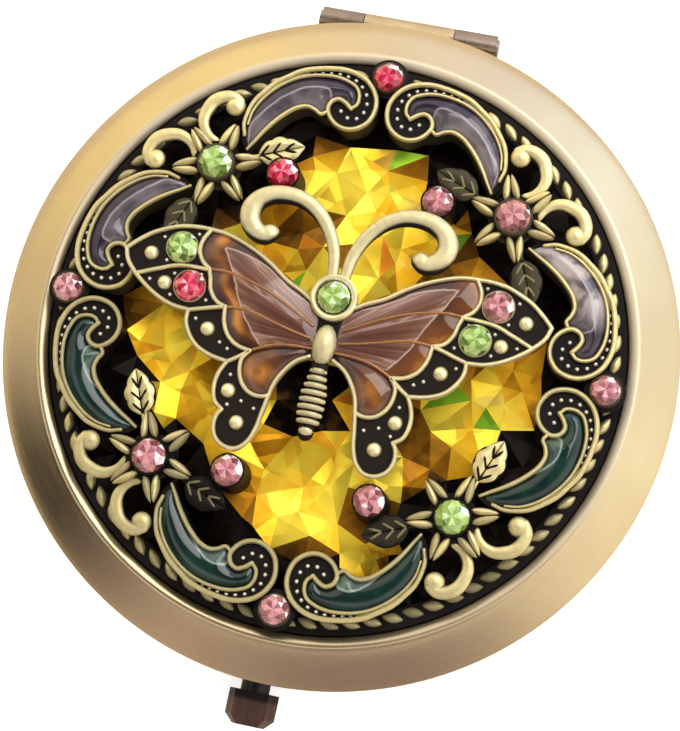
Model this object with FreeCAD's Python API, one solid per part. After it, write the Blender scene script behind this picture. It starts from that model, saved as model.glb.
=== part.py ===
import FreeCAD, Part
import math
import os

V = FreeCAD.Vector
UP = V(0, 0, 1)
ORIGIN = V(0, 0, 0)

# A round compact mirror, closed, lying on its flat underside. Millimetres.
# +Z is up through the ornament, +Y points to the hinge, -Y to the push button.

# Shells
LID_RADIUS = 35.0
LID_EDGE_HEIGHT = 0.6
LID_WALL_HEIGHT = 1.3
LID_PLATE = 0.6
LID_WALL = 1.3
LIP_RADIUS = 30.3
LIP_TOP = 9.95
LIP_INNER_END = 9.6
BAND_MIDDLE = (33.1, 8.72)
BAND_TOP = (31.0, 9.8)
RECESS_RADIUS = 29.7
RECESS_FLOOR = 9.0
BASE_RADIUS = 34.5
BASE_HEIGHT = 6.5
BASE_WALL = 1.1
BASE_FLOOR = 1.0
FOOT_RADIUS = 29.5
INNER_CORNER_RADIUS = 4.0
INNER_CORNER_CENTRE = 28.6
PARTING_GAP = 0.2
SLOPE_START = 31.5

# Mirrors, one in each half
MIRROR_RADIUS = 27.0
MIRROR_THICKNESS = 1.1
PAD_THICKNESS = 0.2
PAD_INSET = 0.2
BEZEL_RADIUS = 28.4
BEZEL_LIP = 0.3
BEZEL_OVERLAP = 0.8
MIRROR_PLAY = 0.05
TRAY_RADIUS = 33.3
TRAY_BOTTOM = 4.4
TRAY_TOP = 4.8

# Hinge
HINGE_X = 0.25
HINGE_Y = 35.15
HINGE_Z = 5.1
BARREL_RADIUS = 1.35
BARREL_HALF = 9.45
CENTRE_HALF = 4.85
KNUCKLE_GAP = 0.1
PIN_RADIUS = 0.6
PIN_PLAY = 0.05
PIN_HEAD_RADIUS = 0.95
PIN_HEAD = 0.25
LEAF = 0.5
BARREL_CLEARANCE = 0.3
STRAP_HALF = 4.4
STRAP_BACK = 30.6
STRAP_CLEARANCE = 0.35
TAB_BACK = 31.8

# Push button and latch
BUTTON_X = -1.43
BUTTON_Z = 2.3
STEM_RADIUS = 1.5
STEM_PLAY = 0.05
STEM_END = -30.5
STEM_END_CLEARANCE = 0.3
BUTTON_TRAVEL = 1.0
BUSHING_RADIUS = 1.9
BUSHING_FRONT = -34.6
BUSHING_BACK = -31.0
CAP_BACK = -36.0
CAP_FRONT = -39.5
CAP_HALF_WIDTH = 2.6
CAP_FLAT_HALF = 1.75
CAP_HALF_HEIGHT = 1.75
CAP_CHAMFER = 0.9
SLIDER_BACK = -28.6
SLIDER_HALF = 1.4
SLIDER_BOTTOM = 1.9
SLIDER_TOP = 3.2
HOOK_HALF = 1.2
HOOK_FRONT = -30.15
HOOK_THICKNESS = 0.6
HOOK_TOP = 6.0
NOSE_HEIGHT = 0.5
NOSE_REACH = 0.3
CATCH_HALF = 2.4
CATCH_BACK = -30.6
CATCH_THICKNESS = 0.6
CATCH_BOTTOM = 5.0
WINDOW_HALF = 1.5
WINDOW_BOTTOM = 5.3
WINDOW_TOP = 6.3
GUIDE_INNER = 1.75
GUIDE_OUTER = 2.3
GUIDE_FRONT = -30.3
GUIDE_BACK = -24.4
GUIDE_WALL = 0.6
GUIDE_TOP = 4.2
SLOT_HALF = 1.8
SLOT_FRONT = -31.2
SPRING_HALF = 1.5
SPRING_THICKNESS = 0.25
SPRING_BOTTOM = 1.6
SPRING_TOP = 3.0

# Ornament levels
FOIL_TOP = 9.3
FOIL_RADIUS = 29.6
SCROLL_TOP = 12.9
SCROLL_ENAMEL_FLOOR = 12.2
SCROLL_ENAMEL_TOP = 12.8
TRACK_FLOOR = 12.45
WING_BOTTOM = 13.4
WING_TOP = 14.8
WING_POCKET = 14.3
WING_ENAMEL_TOP = 14.7
BODY_AXIS = 14.3

# Rope border: slanted pointed beads on a flat ring
ROPE_INNER = 27.6
ROPE_OUTER = 29.6
ROPE_TOP = 9.5
ROPE_BEADS = 84
ROPE_BEAD_HALF = 0.45
ROPE_BEAD_BOTTOM = 9.4
ROPE_BEAD_TOP = 10.2
ROPE_BEAD_INNER = 27.95
ROPE_BEAD_OUTER = 28.85
ROPE_BEAD_TURN = 4.1

# Stones: radius, height of the seat and of the table, and where they are
STONE_SIDES = 8
TABLE_SHARE = 0.55
SEAT_SHARE = 0.8
GIRDLE_SHARE = 0.38
CUP_WALL = 0.25
CUP_RIM = 0.3
FLOWER_AT = 15.4
FLOWER_STONE = (1.75, 13.4, 14.9)
BORDER_AT = 27.7
BORDER_STONE = (1.55, 12.2, 13.4)
BORDER_FLANGE = 2.15
ACCENTS = {"back_right": (7.7, 15.4), "back_left": (-8.3, 15.4),
           "front_left": (-7.3, -15.3), "front_right": (7.1, -15.5)}
ACCENT_ARM_HALF = 0.5
ACCENT_STONE = (1.6, 13.7, 15.0)
WING_STONE_UPPER = (16.2, 5.85)
WING_STONE_LOWER = (14.6, 2.1)
WING_STONE = (1.6, WING_POCKET, 15.5)
HEAD_AT = (0.0, 3.6)
HEAD_STONE = (1.7, 14.6, 16.2)
HEAD_RADIUS = 2.35
HEAD_RIM = 15.2

# Flowers, leaves and curls
PETALS = 6
FIRST_PETAL = 45.0
PETAL_TIP = 4.4
PETAL_ROOT = 1.85
PETAL_SPREAD = 0.68
PETAL_TIP_SPREAD = 0.16
PETAL_HALF = 0.42
PETAL_BOTTOM = 12.6
PETAL_TOP = 13.4
LOBE_TOP_SHARE = 0.5
FLOWER_DISC = 3.4
FLOWER_DISC_BOTTOM = 11.6
FLOWER_DISC_TOP = 12.75
POST_RADIUS = 1.4
LEAF_STEM = (12.7, 16.7)
LEAF_ROOT = (11.4, 17.1)
LEAF_TIP = (6.9, 18.9)
LEAF_LOBES = 3
LEAF_LOBE_START = 0.4
LEAF_LOBE_STEP = 1.35
LEAF_LOBE_REACH = 1.5
LEAF_LOBE_ROOT = 0.1
LEAF_LOBE_SIDE = 1.25
LEAF_LOBE_HALF = 0.5
LEAF_RIB_HALF = 0.36
LEAF_BOTTOM = 12.2
LEAF_RIB_TOP = 12.9
LEAF_TOP = 13.2
CURL = [(16.1, 17.7), (17.0, 18.3), (17.7, 19.2), (17.9, 20.1), (17.6, 21.2), (16.9, 22.2), (15.7, 22.7)]
CURL_WIDTH = (0.6, 1.15)
CURL_BALL = (14.95, 21.95)
CURL_BALL_RADIUS = 1.0
CURL_BOTTOM = 11.8
CURL_TOP = 12.7

# Scroll from the first-quadrant flower to the back border stone.
# Each inner list is one smooth run; a corner lies at the start of each list.
SCROLL = [
    [(12.6, 17.2), (13.4, 18.3), (13.9, 20.4), (13.4, 22.2), (11.7, 24.9), (9.6, 26.6), (7.0, 27.6),
     (4.5, 27.9), (2.4, 27.4), (0.85, 26.0), (0.4, 24.3), (0.9, 22.5), (3.1, 21.25)],
    [(5.3, 22.3), (6.0, 22.35), (7.4, 22.95), (9.0, 22.2), (11.0, 19.8)],
]
SCROLL_TRACK = [
    [(7.3, 27.1), (4.6, 27.45), (2.6, 26.95), (1.25, 25.75), (0.85, 24.3), (1.28, 22.75), (3.1, 21.7),
     (4.8, 22.55), (5.2, 23.3), (4.45, 24.2), (3.1, 23.48), (2.36, 24.15), (2.75, 26.1), (4.6, 26.88)],
]
SCROLL_ENAMEL = [
    [(12.75, 17.95), (13.3, 19.2), (13.35, 20.6), (12.2, 23.3), (9.9, 25.6), (6.8, 26.45), (4.2, 26.3),
     (2.8, 25.4), (3.15, 24.0), (4.55, 24.65), (5.4, 24.2)],
    [(5.68, 23.4)],
    [(6.05, 22.75), (7.4, 23.35), (9.3, 22.45), (11.3, 20.1)],
]
TRACK_BEADS = [(4.25, 23.3), (3.4, 22.75), (2.4, 22.85), (1.75, 23.6), (1.6, 24.5), (1.9, 25.5), (2.5, 26.3),
               (3.3, 26.85)]
TRACK_BEAD_RADIUS = 0.24

# Right wing of the butterfly, and the pockets in it; the whole butterfly sits a little to the left
BUTTERFLY_X = -0.4
WING = [
    [(0.0, 2.2), (1.6, 2.4), (3.0, 3.6), (7.0, 6.0), (11.0, 7.95), (14.2, 8.4), (18.0, 7.7)],
    [(22.0, 4.76), (20.55, 2.35), (17.7, 0.35)],
    [(14.35, -0.5), (13.9, -2.6), (12.0, -4.3)],
    [(9.35, -4.9), (10.15, -6.9), (9.9, -8.5)],
    [(8.9, -9.5), (9.35, -11.3), (8.1, -13.1), (6.5, -13.3), (5.2, -11.9), (4.5, -9.1), (3.9, -6.0),
     (2.3, -3.5)],
    [(0.9, -2.6)],
    [(0.0, -2.6)],
]
FORE_CELL = [
    [(2.4, 2.4), (4.0, 3.6), (7.1, 5.6), (11.0, 7.5)],
    [(13.3, 7.95), (14.15, 6.4)],
    [(12.85, 4.3), (12.3, 2.3)],
    [(10.6, 0.75), (10.1, -0.9), (8.9, -2.5)],
    [(7.2, -3.0), (5.0, -2.0), (3.4, -1.7)],
    [(1.5, -1.6)],
]
HIND_CELL = [
    [(1.6, -2.1), (4.2, -2.25), (6.4, -3.05), (7.6, -4.5), (7.1, -6.4), (5.6, -7.25)],
    [(4.65, -7.05), (3.8, -4.7), (2.6, -3.2)],
]
MARGIN_CELLS = [
    [
        [(13.95, 7.95), (16.5, 7.8), (19.2, 6.6)],
        [(21.45, 4.75), (21.0, 3.65)],
        [(20.3, 2.75), (18.1, 3.5), (15.5, 4.25)],
        [(13.6, 4.35), (14.5, 5.6)],
    ],
    [
        [(13.15, 3.95), (15.5, 3.85), (17.9, 3.1)],
        [(19.9, 2.25), (17.5, 0.75), (15.9, 0.1)],
        [(14.2, -0.05), (12.8, 0.35)],
        [(11.3, 0.85), (12.6, 2.0)],
    ],
    [
        [(10.8, 0.4), (12.4, 0.0)],
        [(14.0, -0.5), (13.5, -2.45), (11.6, -4.0)],
        [(9.3, -4.45)],
        [(7.85, -3.45), (9.6, -2.5), (10.55, -0.9)],
    ],
    [
        [(7.65, -3.75), (8.5, -4.5)],
        [(9.1, -5.0), (9.75, -6.9), (9.4, -8.5)],
        [(8.45, -9.3), (8.95, -11.2), (7.75, -12.85), (6.6, -12.9), (5.5, -11.5), (4.9, -9.0)],
        [(4.7, -7.5), (6.3, -7.5), (7.6, -6.3), (8.05, -4.9)],
    ],
]
WING_BEADS = [(19.1, 4.8), (17.15, 2.05), (11.9, -1.8), (8.55, -7.5), (7.0, -10.45)]
WING_BEAD_RADIUS = 0.75
WING_POSTS = [(12.0, 5.0), (6.5, -5.0)]
WING_POST_RADIUS = 1.0
THORAX_FRONT = -3.4
THORAX_BACK = 0.9
THORAX_RADIUS = 1.2
ABDOMEN_FRONT = -11.0
ABDOMEN_BACK = -3.3
ABDOMEN_RADIUS = 1.4
ABDOMEN_RINGS = 10
ABDOMEN_RIDGE = 0.16
ABDOMEN_END_SHARE = 0.35
ABDOMEN_SWELL = 1.2
ANTENNA = [(0.6, 5.4), (1.0, 8.2), (2.3, 10.8), (4.4, 12.6), (6.9, 13.05), (9.2, 12.2), (10.1, 10.6),
           (9.5, 9.1), (8.1, 8.6)]
ANTENNA_RADII = (0.48, 0.98)
ANTENNA_Z = 14.5
ANTENNA_BALL = (7.8, 8.8)
ANTENNA_BALL_RADIUS = 1.05
ANTENNA_STATIONS = 16

# Levels worked out from the driving dimensions
LID_BOTTOM = BASE_HEIGHT + PARTING_GAP
LID_UNDER = RECESS_FLOOR - LID_PLATE
STRAP_TOP = HINGE_Z + BARREL_RADIUS
TAB_BOTTOM = HINGE_Z - BARREL_RADIUS
QUARTER_TURNS = (0, 90, 180, 270)


# Building blocks
def box(x0, x1, y0, y1, z0, z1):
    return Part.makeBox(x1 - x0, y1 - y0, z1 - z0, V(x0, y0, z0))


def disc(radius, z0, z1, x=0.0, y=0.0):
    return Part.makeCylinder(radius, z1 - z0, V(x, y, z0), UP)


def ring(outer, inner, z0, z1):
    return disc(outer, z0, z1).cut(disc(inner, z0, z1))


def rod_x(radius, x0, x1):
    """A round bar on the hinge axis."""
    return Part.makeCylinder(radius, x1 - x0, V(x0, HINGE_Y, HINGE_Z), V(1, 0, 0))


def rod_y(radius, y0, y1):
    """A round bar on the button axis."""
    return Part.makeCylinder(radius, y1 - y0, V(BUTTON_X, y0, BUTTON_Z), V(0, 1, 0))


def turned(start, *steps):
    """A solid of revolution about Z from an (r, z) outline.

    A step is an end point, or a pair of points: the middle and the end of an arc."""
    edges = []
    here = V(start[0], 0, start[1])
    for step in steps + (start,):
        if isinstance(step[0], tuple):
            middle, end = (V(r, 0, z) for r, z in step)
            edges.append(Part.Arc(here, middle, end).toShape())
        else:
            end = V(step[0], 0, step[1])
            edges.append(Part.LineSegment(here, end).toShape())
        here = end
    return Part.Face(Part.Wire(edges)).revolve(ORIGIN, UP, 360)


def smooth(points, z=0.0):
    """A straight or smooth edge through flat points."""
    places = [V(x, y, z) for x, y in points]
    if len(places) == 2:
        return Part.LineSegment(*places).toShape()
    curve = Part.BSplineCurve()
    curve.interpolate(places)
    return curve.toShape()


def plate(runs, z0, z1):
    """A flat plate whose outline is made of smooth runs that meet in corners."""
    edges = []
    for i, run in enumerate(runs):
        following = runs[(i + 1) % len(runs)]
        edges.append(smooth(run + following[:1], z0))
    return Part.Face(Part.Wire(edges)).extrude(V(0, 0, z1 - z0))


def stations(points, count):
    """Evenly spaced places and unit directions along a smooth line."""
    edge = smooth(points)
    first, last = edge.ParameterRange
    found = []
    for i in range(count):
        at = first + (last - first) * i / (count - 1)
        found.append((edge.valueAt(at), edge.tangentAt(at)))
    return found


def ribbon(points, widths, z0, z1):
    """A flat strip along a line, growing from the first width to the second."""
    left, right = [], []
    last = len(points) - 1
    for i, (place, along) in enumerate(stations(points, len(points))):
        half = (widths[0] + (widths[1] - widths[0]) * i / last) / 2
        left.append((place.x - along.y * half, place.y + along.x * half))
        right.append((place.x + along.y * half, place.y - along.x * half))
    right.reverse()
    return plate([left[:-1], left[-1:], right[:-1], right[-1:]], z0, z1)


def egg(back, front, radius, z):
    """A round long egg lying along Y."""
    start, end = V(0, back, z), V(0, front, z)
    middle = (start + end) * 0.5
    oval = Part.Ellipse(start, middle + V(radius, 0, 0), middle)
    half = Part.ArcOfEllipse(oval, 0, math.pi).toShape()
    chord = Part.LineSegment(end, start).toShape()
    return Part.Face(Part.Wire([half, chord])).revolve(middle, V(0, 1, 0), 360)


def lobe(start, end, half_width, z0, z1):
    """A pointed oval plate between two flat points, with bevelled sides."""
    def rim(share, z):
        middle = V((start[0] + end[0]) / 2, (start[1] + end[1]) / 2, z)
        reach = V(end[0] - start[0], end[1] - start[1], 0) * (share / 2)
        side = reach.cross(UP).normalize() * (half_width * share)
        a, b = middle - reach, middle + reach
        return Part.Wire([Part.Arc(a, middle + side, b).toShape(), Part.Arc(b, middle - side, a).toShape()])

    return Part.makeLoft([rim(1.0, z0), rim(LOBE_TOP_SHARE, z1)], True, True)


def ball(radius, x, y, z):
    return Part.makeSphere(radius, V(x, y, z))


def flipped(shape):
    """The left-hand twin of a right-hand shape."""
    return shape.mirror(ORIGIN, V(1, 0, 0))


def across_diagonal(shape):
    """The twin of a shape on the other side of the first quadrant's diagonal."""
    return shape.mirror(ORIGIN, V(1, -1, 0))


def on_butterfly(shape):
    """A shape drawn about the middle, moved to where the butterfly sits."""
    copy = shape.copy()
    copy.translate(V(BUTTERFLY_X, 0, 0))
    return copy


def turned_by(shape, degrees):
    copy = shape.copy()
    copy.rotate(ORIGIN, UP, degrees)
    return copy


def joined(shapes):
    """One shape from several that meet, as a plain solid where they make one."""
    whole = shapes[0].fuse(shapes[1:]).removeSplitter()
    return whole.Solids[0] if len(whole.Solids) == 1 else whole


def save(name, shape):
    shape.exportStep("parts/" + name + ".step")


# Shells
def base_shell():
    corner = BASE_RADIUS - FOOT_RADIUS
    bend = corner * math.sqrt(0.5)
    inner_bend = INNER_CORNER_RADIUS * math.sqrt(0.5)
    inner_level = BASE_FLOOR + INNER_CORNER_RADIUS
    ledge = INNER_CORNER_CENTRE + math.sqrt(INNER_CORNER_RADIUS ** 2 - (inner_level - TRAY_BOTTOM) ** 2)
    shell = turned(
        (0, 0), (FOOT_RADIUS, 0),
        ((FOOT_RADIUS + bend, corner - bend), (BASE_RADIUS, corner)),
        (BASE_RADIUS, BASE_HEIGHT), (BASE_RADIUS - BASE_WALL, BASE_HEIGHT),
        (BASE_RADIUS - BASE_WALL, TRAY_BOTTOM), (ledge, TRAY_BOTTOM),
        ((INNER_CORNER_CENTRE + inner_bend, inner_level - inner_bend), (INNER_CORNER_CENTRE, BASE_FLOOR)),
        (0, BASE_FLOOR),
    )
    notch_half = BARREL_HALF + BARREL_CLEARANCE
    notch = rod_x(BARREL_RADIUS + BARREL_CLEARANCE, HINGE_X - notch_half, HINGE_X + notch_half)
    strap_half = STRAP_HALF + STRAP_CLEARANCE
    strap_way = box(HINGE_X - strap_half, HINGE_X + strap_half, STRAP_BACK, HINGE_Y,
                    STRAP_TOP - LEAF - STRAP_CLEARANCE, BASE_HEIGHT + PARTING_GAP)
    tabs = [hinge_tab(-1), hinge_tab(1)]
    bushing_hole = rod_y(BUSHING_RADIUS, BUSHING_FRONT, BUSHING_BACK)
    stem_way = rod_y(STEM_RADIUS + STEM_PLAY, BUSHING_BACK, STEM_END + BUTTON_TRAVEL + STEM_END_CLEARANCE)
    return shell.cut([notch, strap_way, bushing_hole, stem_way] + tabs)


def lid_shell():
    edge_top = LID_BOTTOM + LID_EDGE_HEIGHT
    inner = LID_RADIUS - LID_WALL
    return turned(
        (0, RECESS_FLOOR), (0, LID_UNDER), (SLOPE_START, LID_UNDER), (inner, LID_BOTTOM + LID_WALL_HEIGHT),
        (inner, LID_BOTTOM), (LID_RADIUS, LID_BOTTOM), (LID_RADIUS, edge_top),
        (BAND_MIDDLE, BAND_TOP), ((LIP_RADIUS, LIP_TOP), (RECESS_RADIUS, LIP_INNER_END)),
        (RECESS_RADIUS, RECESS_FLOOR),
    )


# Mirrors
def mirror_set(floor, way):
    """Pad, glass and bezel stacked from a floor; way is 1 upwards, -1 downwards."""
    def level(height):
        return floor + way * height

    def slab(radius, low, high):
        return disc(radius, min(level(low), level(high)), max(level(low), level(high)))

    glass_top = PAD_THICKNESS + MIRROR_THICKNESS
    pad = slab(MIRROR_RADIUS - PAD_INSET, 0, PAD_THICKNESS)
    glass = slab(MIRROR_RADIUS, PAD_THICKNESS, glass_top)
    bezel = slab(BEZEL_RADIUS, 0, glass_top + BEZEL_LIP)
    bezel = bezel.cut(slab(MIRROR_RADIUS + MIRROR_PLAY, 0, glass_top))
    bezel = bezel.cut(slab(MIRROR_RADIUS - BEZEL_OVERLAP, glass_top, glass_top + BEZEL_LIP))
    return pad, glass, bezel


def base_tray():
    slot = box(BUTTON_X - SLOT_HALF, BUTTON_X + SLOT_HALF, SLOT_FRONT, -BEZEL_RADIUS, TRAY_BOTTOM, TRAY_TOP)
    return disc(TRAY_RADIUS, TRAY_BOTTOM, TRAY_TOP).cut(slot)


# Hinge
def hinge_span(side):
    """Ends along X of an outer knuckle, on the left (-1) or the right (1)."""
    ends = (HINGE_X + side * (CENTRE_HALF + KNUCKLE_GAP), HINGE_X + side * BARREL_HALF)
    return min(ends), max(ends)


def hinge_tab(side):
    x0, x1 = hinge_span(side)
    return box(x0, x1, TAB_BACK, HINGE_Y, TAB_BOTTOM, TAB_BOTTOM + LEAF)


def hinge_outer(side):
    x0, x1 = hinge_span(side)
    return rod_x(BARREL_RADIUS, x0, x1).fuse(hinge_tab(side)).cut(rod_x(PIN_RADIUS, x0, x1)).removeSplitter()


def hinge_centre():
    x0, x1 = HINGE_X - CENTRE_HALF, HINGE_X + CENTRE_HALF
    left, right = HINGE_X - STRAP_HALF, HINGE_X + STRAP_HALF
    strap = box(left, right, STRAP_BACK, HINGE_Y, STRAP_TOP - LEAF, STRAP_TOP)
    upright = box(left, right, STRAP_BACK, STRAP_BACK + LEAF, STRAP_TOP - LEAF, LID_UNDER)
    body = joined([rod_x(BARREL_RADIUS, x0, x1), strap, upright])
    return body.cut(rod_x(PIN_RADIUS + PIN_PLAY, x0, x1))


def hinge_pin():
    x0, x1 = HINGE_X - BARREL_HALF, HINGE_X + BARREL_HALF
    heads = [rod_x(PIN_HEAD_RADIUS, x0 - PIN_HEAD, x0), rod_x(PIN_HEAD_RADIUS, x1, x1 + PIN_HEAD)]
    return joined([rod_x(PIN_RADIUS, x0, x1)] + heads)


# Push button and latch
def button_cap():
    """A six-sided cap, wider than high, with its front corners cut back."""
    corners = [(-CAP_HALF_WIDTH, 0), (-CAP_FLAT_HALF, CAP_HALF_HEIGHT), (CAP_FLAT_HALF, CAP_HALF_HEIGHT),
               (CAP_HALF_WIDTH, 0), (CAP_FLAT_HALF, -CAP_HALF_HEIGHT), (-CAP_FLAT_HALF, -CAP_HALF_HEIGHT)]

    def section(share, y):
        places = [V(BUTTON_X + x * share, y, BUTTON_Z + z * share) for x, z in corners]
        return Part.makePolygon(places + places[:1])

    front_share = 1 - CAP_CHAMFER / CAP_HALF_WIDTH
    wires = [section(1, CAP_BACK), section(1, CAP_FRONT + CAP_CHAMFER), section(front_share, CAP_FRONT)]
    return Part.makeLoft(wires, True, True)


def latch_hook():
    slider = box(BUTTON_X - SLIDER_HALF, BUTTON_X + SLIDER_HALF, STEM_END, SLIDER_BACK,
                 SLIDER_BOTTOM, SLIDER_TOP)
    upright = box(BUTTON_X - HOOK_HALF, BUTTON_X + HOOK_HALF, HOOK_FRONT, HOOK_FRONT + HOOK_THICKNESS,
                  SLIDER_TOP, HOOK_TOP)
    nose = box(BUTTON_X - HOOK_HALF, BUTTON_X + HOOK_HALF, HOOK_FRONT - NOSE_REACH, HOOK_FRONT,
               HOOK_TOP - NOSE_HEIGHT, HOOK_TOP)
    return joined([slider, upright, nose])


def lid_catch():
    tongue = box(BUTTON_X - CATCH_HALF, BUTTON_X + CATCH_HALF, CATCH_BACK - CATCH_THICKNESS, CATCH_BACK,
                 CATCH_BOTTOM, LID_UNDER)
    window = box(BUTTON_X - WINDOW_HALF, BUTTON_X + WINDOW_HALF, CATCH_BACK - CATCH_THICKNESS, CATCH_BACK,
                 WINDOW_BOTTOM, WINDOW_TOP)
    return tongue.cut(window)


def latch_guide(shell):
    block = box(BUTTON_X - GUIDE_OUTER, BUTTON_X + GUIDE_OUTER, GUIDE_FRONT, GUIDE_BACK,
                BASE_FLOOR, GUIDE_TOP)
    channel = box(BUTTON_X - GUIDE_INNER, BUTTON_X + GUIDE_INNER, GUIDE_FRONT, GUIDE_BACK - GUIDE_WALL,
                  BASE_FLOOR, GUIDE_TOP)
    return block.cut(channel).cut(shell)


def latch_spring():
    """A leaf bent to a U between the slider and the back of its guide."""
    foot = GUIDE_BACK - GUIDE_WALL
    centre = SLIDER_BACK + SPRING_HALF

    def tongue(half):
        legs = box(BUTTON_X - half, BUTTON_X + half, centre, foot, SPRING_BOTTOM, SPRING_TOP)
        return legs.fuse(disc(half, SPRING_BOTTOM, SPRING_TOP, BUTTON_X, centre))

    return tongue(SPRING_HALF).cut(tongue(SPRING_HALF - SPRING_THICKNESS))


# Ornament
def stone(size, x, y):
    """A faceted stone: two eight-sided double frusta, one turned by half a side, and what they share."""
    radius, seat, table = size
    girdle = seat + (table - seat) * GIRDLE_SHARE

    def frustum(turn):
        wires = []
        for share, z in ((SEAT_SHARE, seat), (1.0, girdle), (TABLE_SHARE, table)):
            places = []
            for k in range(STONE_SIDES):
                angle = math.radians(turn + 360 * k / STONE_SIDES)
                out = radius * share
                places.append(V(x + out * math.cos(angle), y + out * math.sin(angle), z))
            wires.append(Part.makePolygon(places + places[:1]))
        return Part.makeLoft(wires, True, True)

    return frustum(0).common(frustum(180 / STONE_SIDES))


def cup(size, x, y, bottom):
    """A round post that holds a stone in a shallow bored seat."""
    radius, seat, _ = size
    rim = seat + CUP_RIM
    return disc(radius + CUP_WALL, bottom, rim, x, y).cut(disc(radius, seat, rim, x, y))


def scroll():
    body = plate(SCROLL, FOIL_TOP, SCROLL_TOP)
    body = body.cut(plate(SCROLL_TRACK, TRACK_FLOOR, SCROLL_TOP))
    body = body.cut(plate(SCROLL_ENAMEL, SCROLL_ENAMEL_FLOOR, SCROLL_TOP))
    return body.fuse([ball(TRACK_BEAD_RADIUS, x, y, TRACK_FLOOR) for x, y in TRACK_BEADS])


def curl():
    strip = ribbon(CURL, CURL_WIDTH, CURL_BOTTOM, CURL_TOP)
    return strip.fuse(ball(CURL_BALL_RADIUS, *CURL_BALL, (CURL_BOTTOM + CURL_TOP) / 2))


def leaf():
    """A midrib with slanted pointed lobes on both sides."""
    length = math.dist(LEAF_ROOT, LEAF_TIP)
    dx, dy = ((LEAF_TIP[i] - LEAF_ROOT[i]) / length for i in (0, 1))
    pieces = [lobe(LEAF_STEM, LEAF_TIP, LEAF_RIB_HALF, LEAF_BOTTOM, LEAF_RIB_TOP)]
    for i in range(LEAF_LOBES):
        for side in (1, -1):
            ends = []
            for along, out in ((0, LEAF_LOBE_ROOT), (LEAF_LOBE_REACH, LEAF_LOBE_SIDE)):
                along += LEAF_LOBE_START + LEAF_LOBE_STEP * i
                out *= side
                ends.append((LEAF_ROOT[0] + dx * along - dy * out, LEAF_ROOT[1] + dy * along + dx * out))
            pieces.append(lobe(*ends, LEAF_LOBE_HALF, LEAF_BOTTOM, LEAF_TOP))
    return joined(pieces)


def flower():
    """Six creased petals round a stone cup; one petal points straight out."""
    pieces = [disc(FLOWER_DISC, FLOWER_DISC_BOTTOM, FLOWER_DISC_TOP, FLOWER_AT, FLOWER_AT),
              disc(POST_RADIUS, FOIL_TOP, FLOWER_DISC_BOTTOM, FLOWER_AT, FLOWER_AT)]
    for k in range(PETALS):
        angle = math.radians(FIRST_PETAL + 360 * k / PETALS)
        c, s = math.cos(angle), math.sin(angle)
        for side in (1, -1):
            ends = []
            for out, spread in ((PETAL_ROOT, PETAL_SPREAD), (PETAL_TIP, PETAL_TIP_SPREAD)):
                aside = side * spread
                ends.append((FLOWER_AT + out * c - aside * s, FLOWER_AT + out * s + aside * c))
            pieces.append(lobe(*ends, PETAL_HALF, PETAL_BOTTOM, PETAL_TOP))
    body = joined(pieces)
    radius, seat, _ = FLOWER_STONE
    body = body.cut(disc(radius, FLOWER_DISC_TOP, seat + CUP_RIM, FLOWER_AT, FLOWER_AT))
    return body.fuse(cup(FLOWER_STONE, FLOWER_AT, FLOWER_AT, FLOWER_DISC_TOP))


def accent(x, y):
    """A cup on its own post, with an arm to the middle of the nearest leaf."""
    leaf_x, leaf_y = ((LEAF_ROOT[i] + LEAF_TIP[i]) / 2 for i in (0, 1))
    end = (math.copysign(leaf_x, x), math.copysign(leaf_y, y))
    arm = lobe((x, y), end, ACCENT_ARM_HALF, LEAF_BOTTOM, LEAF_RIB_TOP)
    return cup(ACCENT_STONE, x, y, FOIL_TOP).fuse(arm)


def border_filigree():
    eighth = joined([scroll(), curl(), leaf()])
    flange = disc(BORDER_FLANGE, FLOWER_DISC_BOTTOM, BORDER_STONE[1] - CUP_RIM, 0, BORDER_AT)
    post = disc(POST_RADIUS, FOIL_TOP, FLOWER_DISC_BOTTOM, 0, BORDER_AT)
    border = joined([flange, post, cup(BORDER_STONE, 0, BORDER_AT, FLOWER_DISC_BOTTOM)])
    quarter = joined([eighth, across_diagonal(eighth), flower()])
    quarters = [turned_by(quarter, turn) for turn in QUARTER_TURNS]
    borders = [turned_by(border, turn) for turn in QUARTER_TURNS]
    accents = [accent(*place) for place in ACCENTS.values()]
    return joined(quarters + borders + accents)


def rope_border():
    pieces = [ring(ROPE_OUTER, ROPE_INNER, FOIL_TOP, ROPE_TOP)]
    for k in range(ROPE_BEADS):
        ends = []
        for out, turn in ((ROPE_BEAD_INNER, 0), (ROPE_BEAD_OUTER, ROPE_BEAD_TURN)):
            at = math.radians(360 * k / ROPE_BEADS + turn)
            ends.append((out * math.cos(at), out * math.sin(at)))
        pieces.append(lobe(*ends, ROPE_BEAD_HALF, ROPE_BEAD_BOTTOM, ROPE_BEAD_TOP))
    return joined(pieces)


def antenna():
    wires = []
    for i, (place, along) in enumerate(stations(ANTENNA, ANTENNA_STATIONS)):
        grown = i / (ANTENNA_STATIONS - 1)
        radius = ANTENNA_RADII[0] + (ANTENNA_RADII[1] - ANTENNA_RADII[0]) * grown
        wires.append(Part.Wire(Part.makeCircle(radius, V(place.x, place.y, ANTENNA_Z), along)))
    tube = Part.makeLoft(wires, True, True)
    return tube.fuse(ball(ANTENNA_BALL_RADIUS, *ANTENNA_BALL, ANTENNA_Z))


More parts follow.
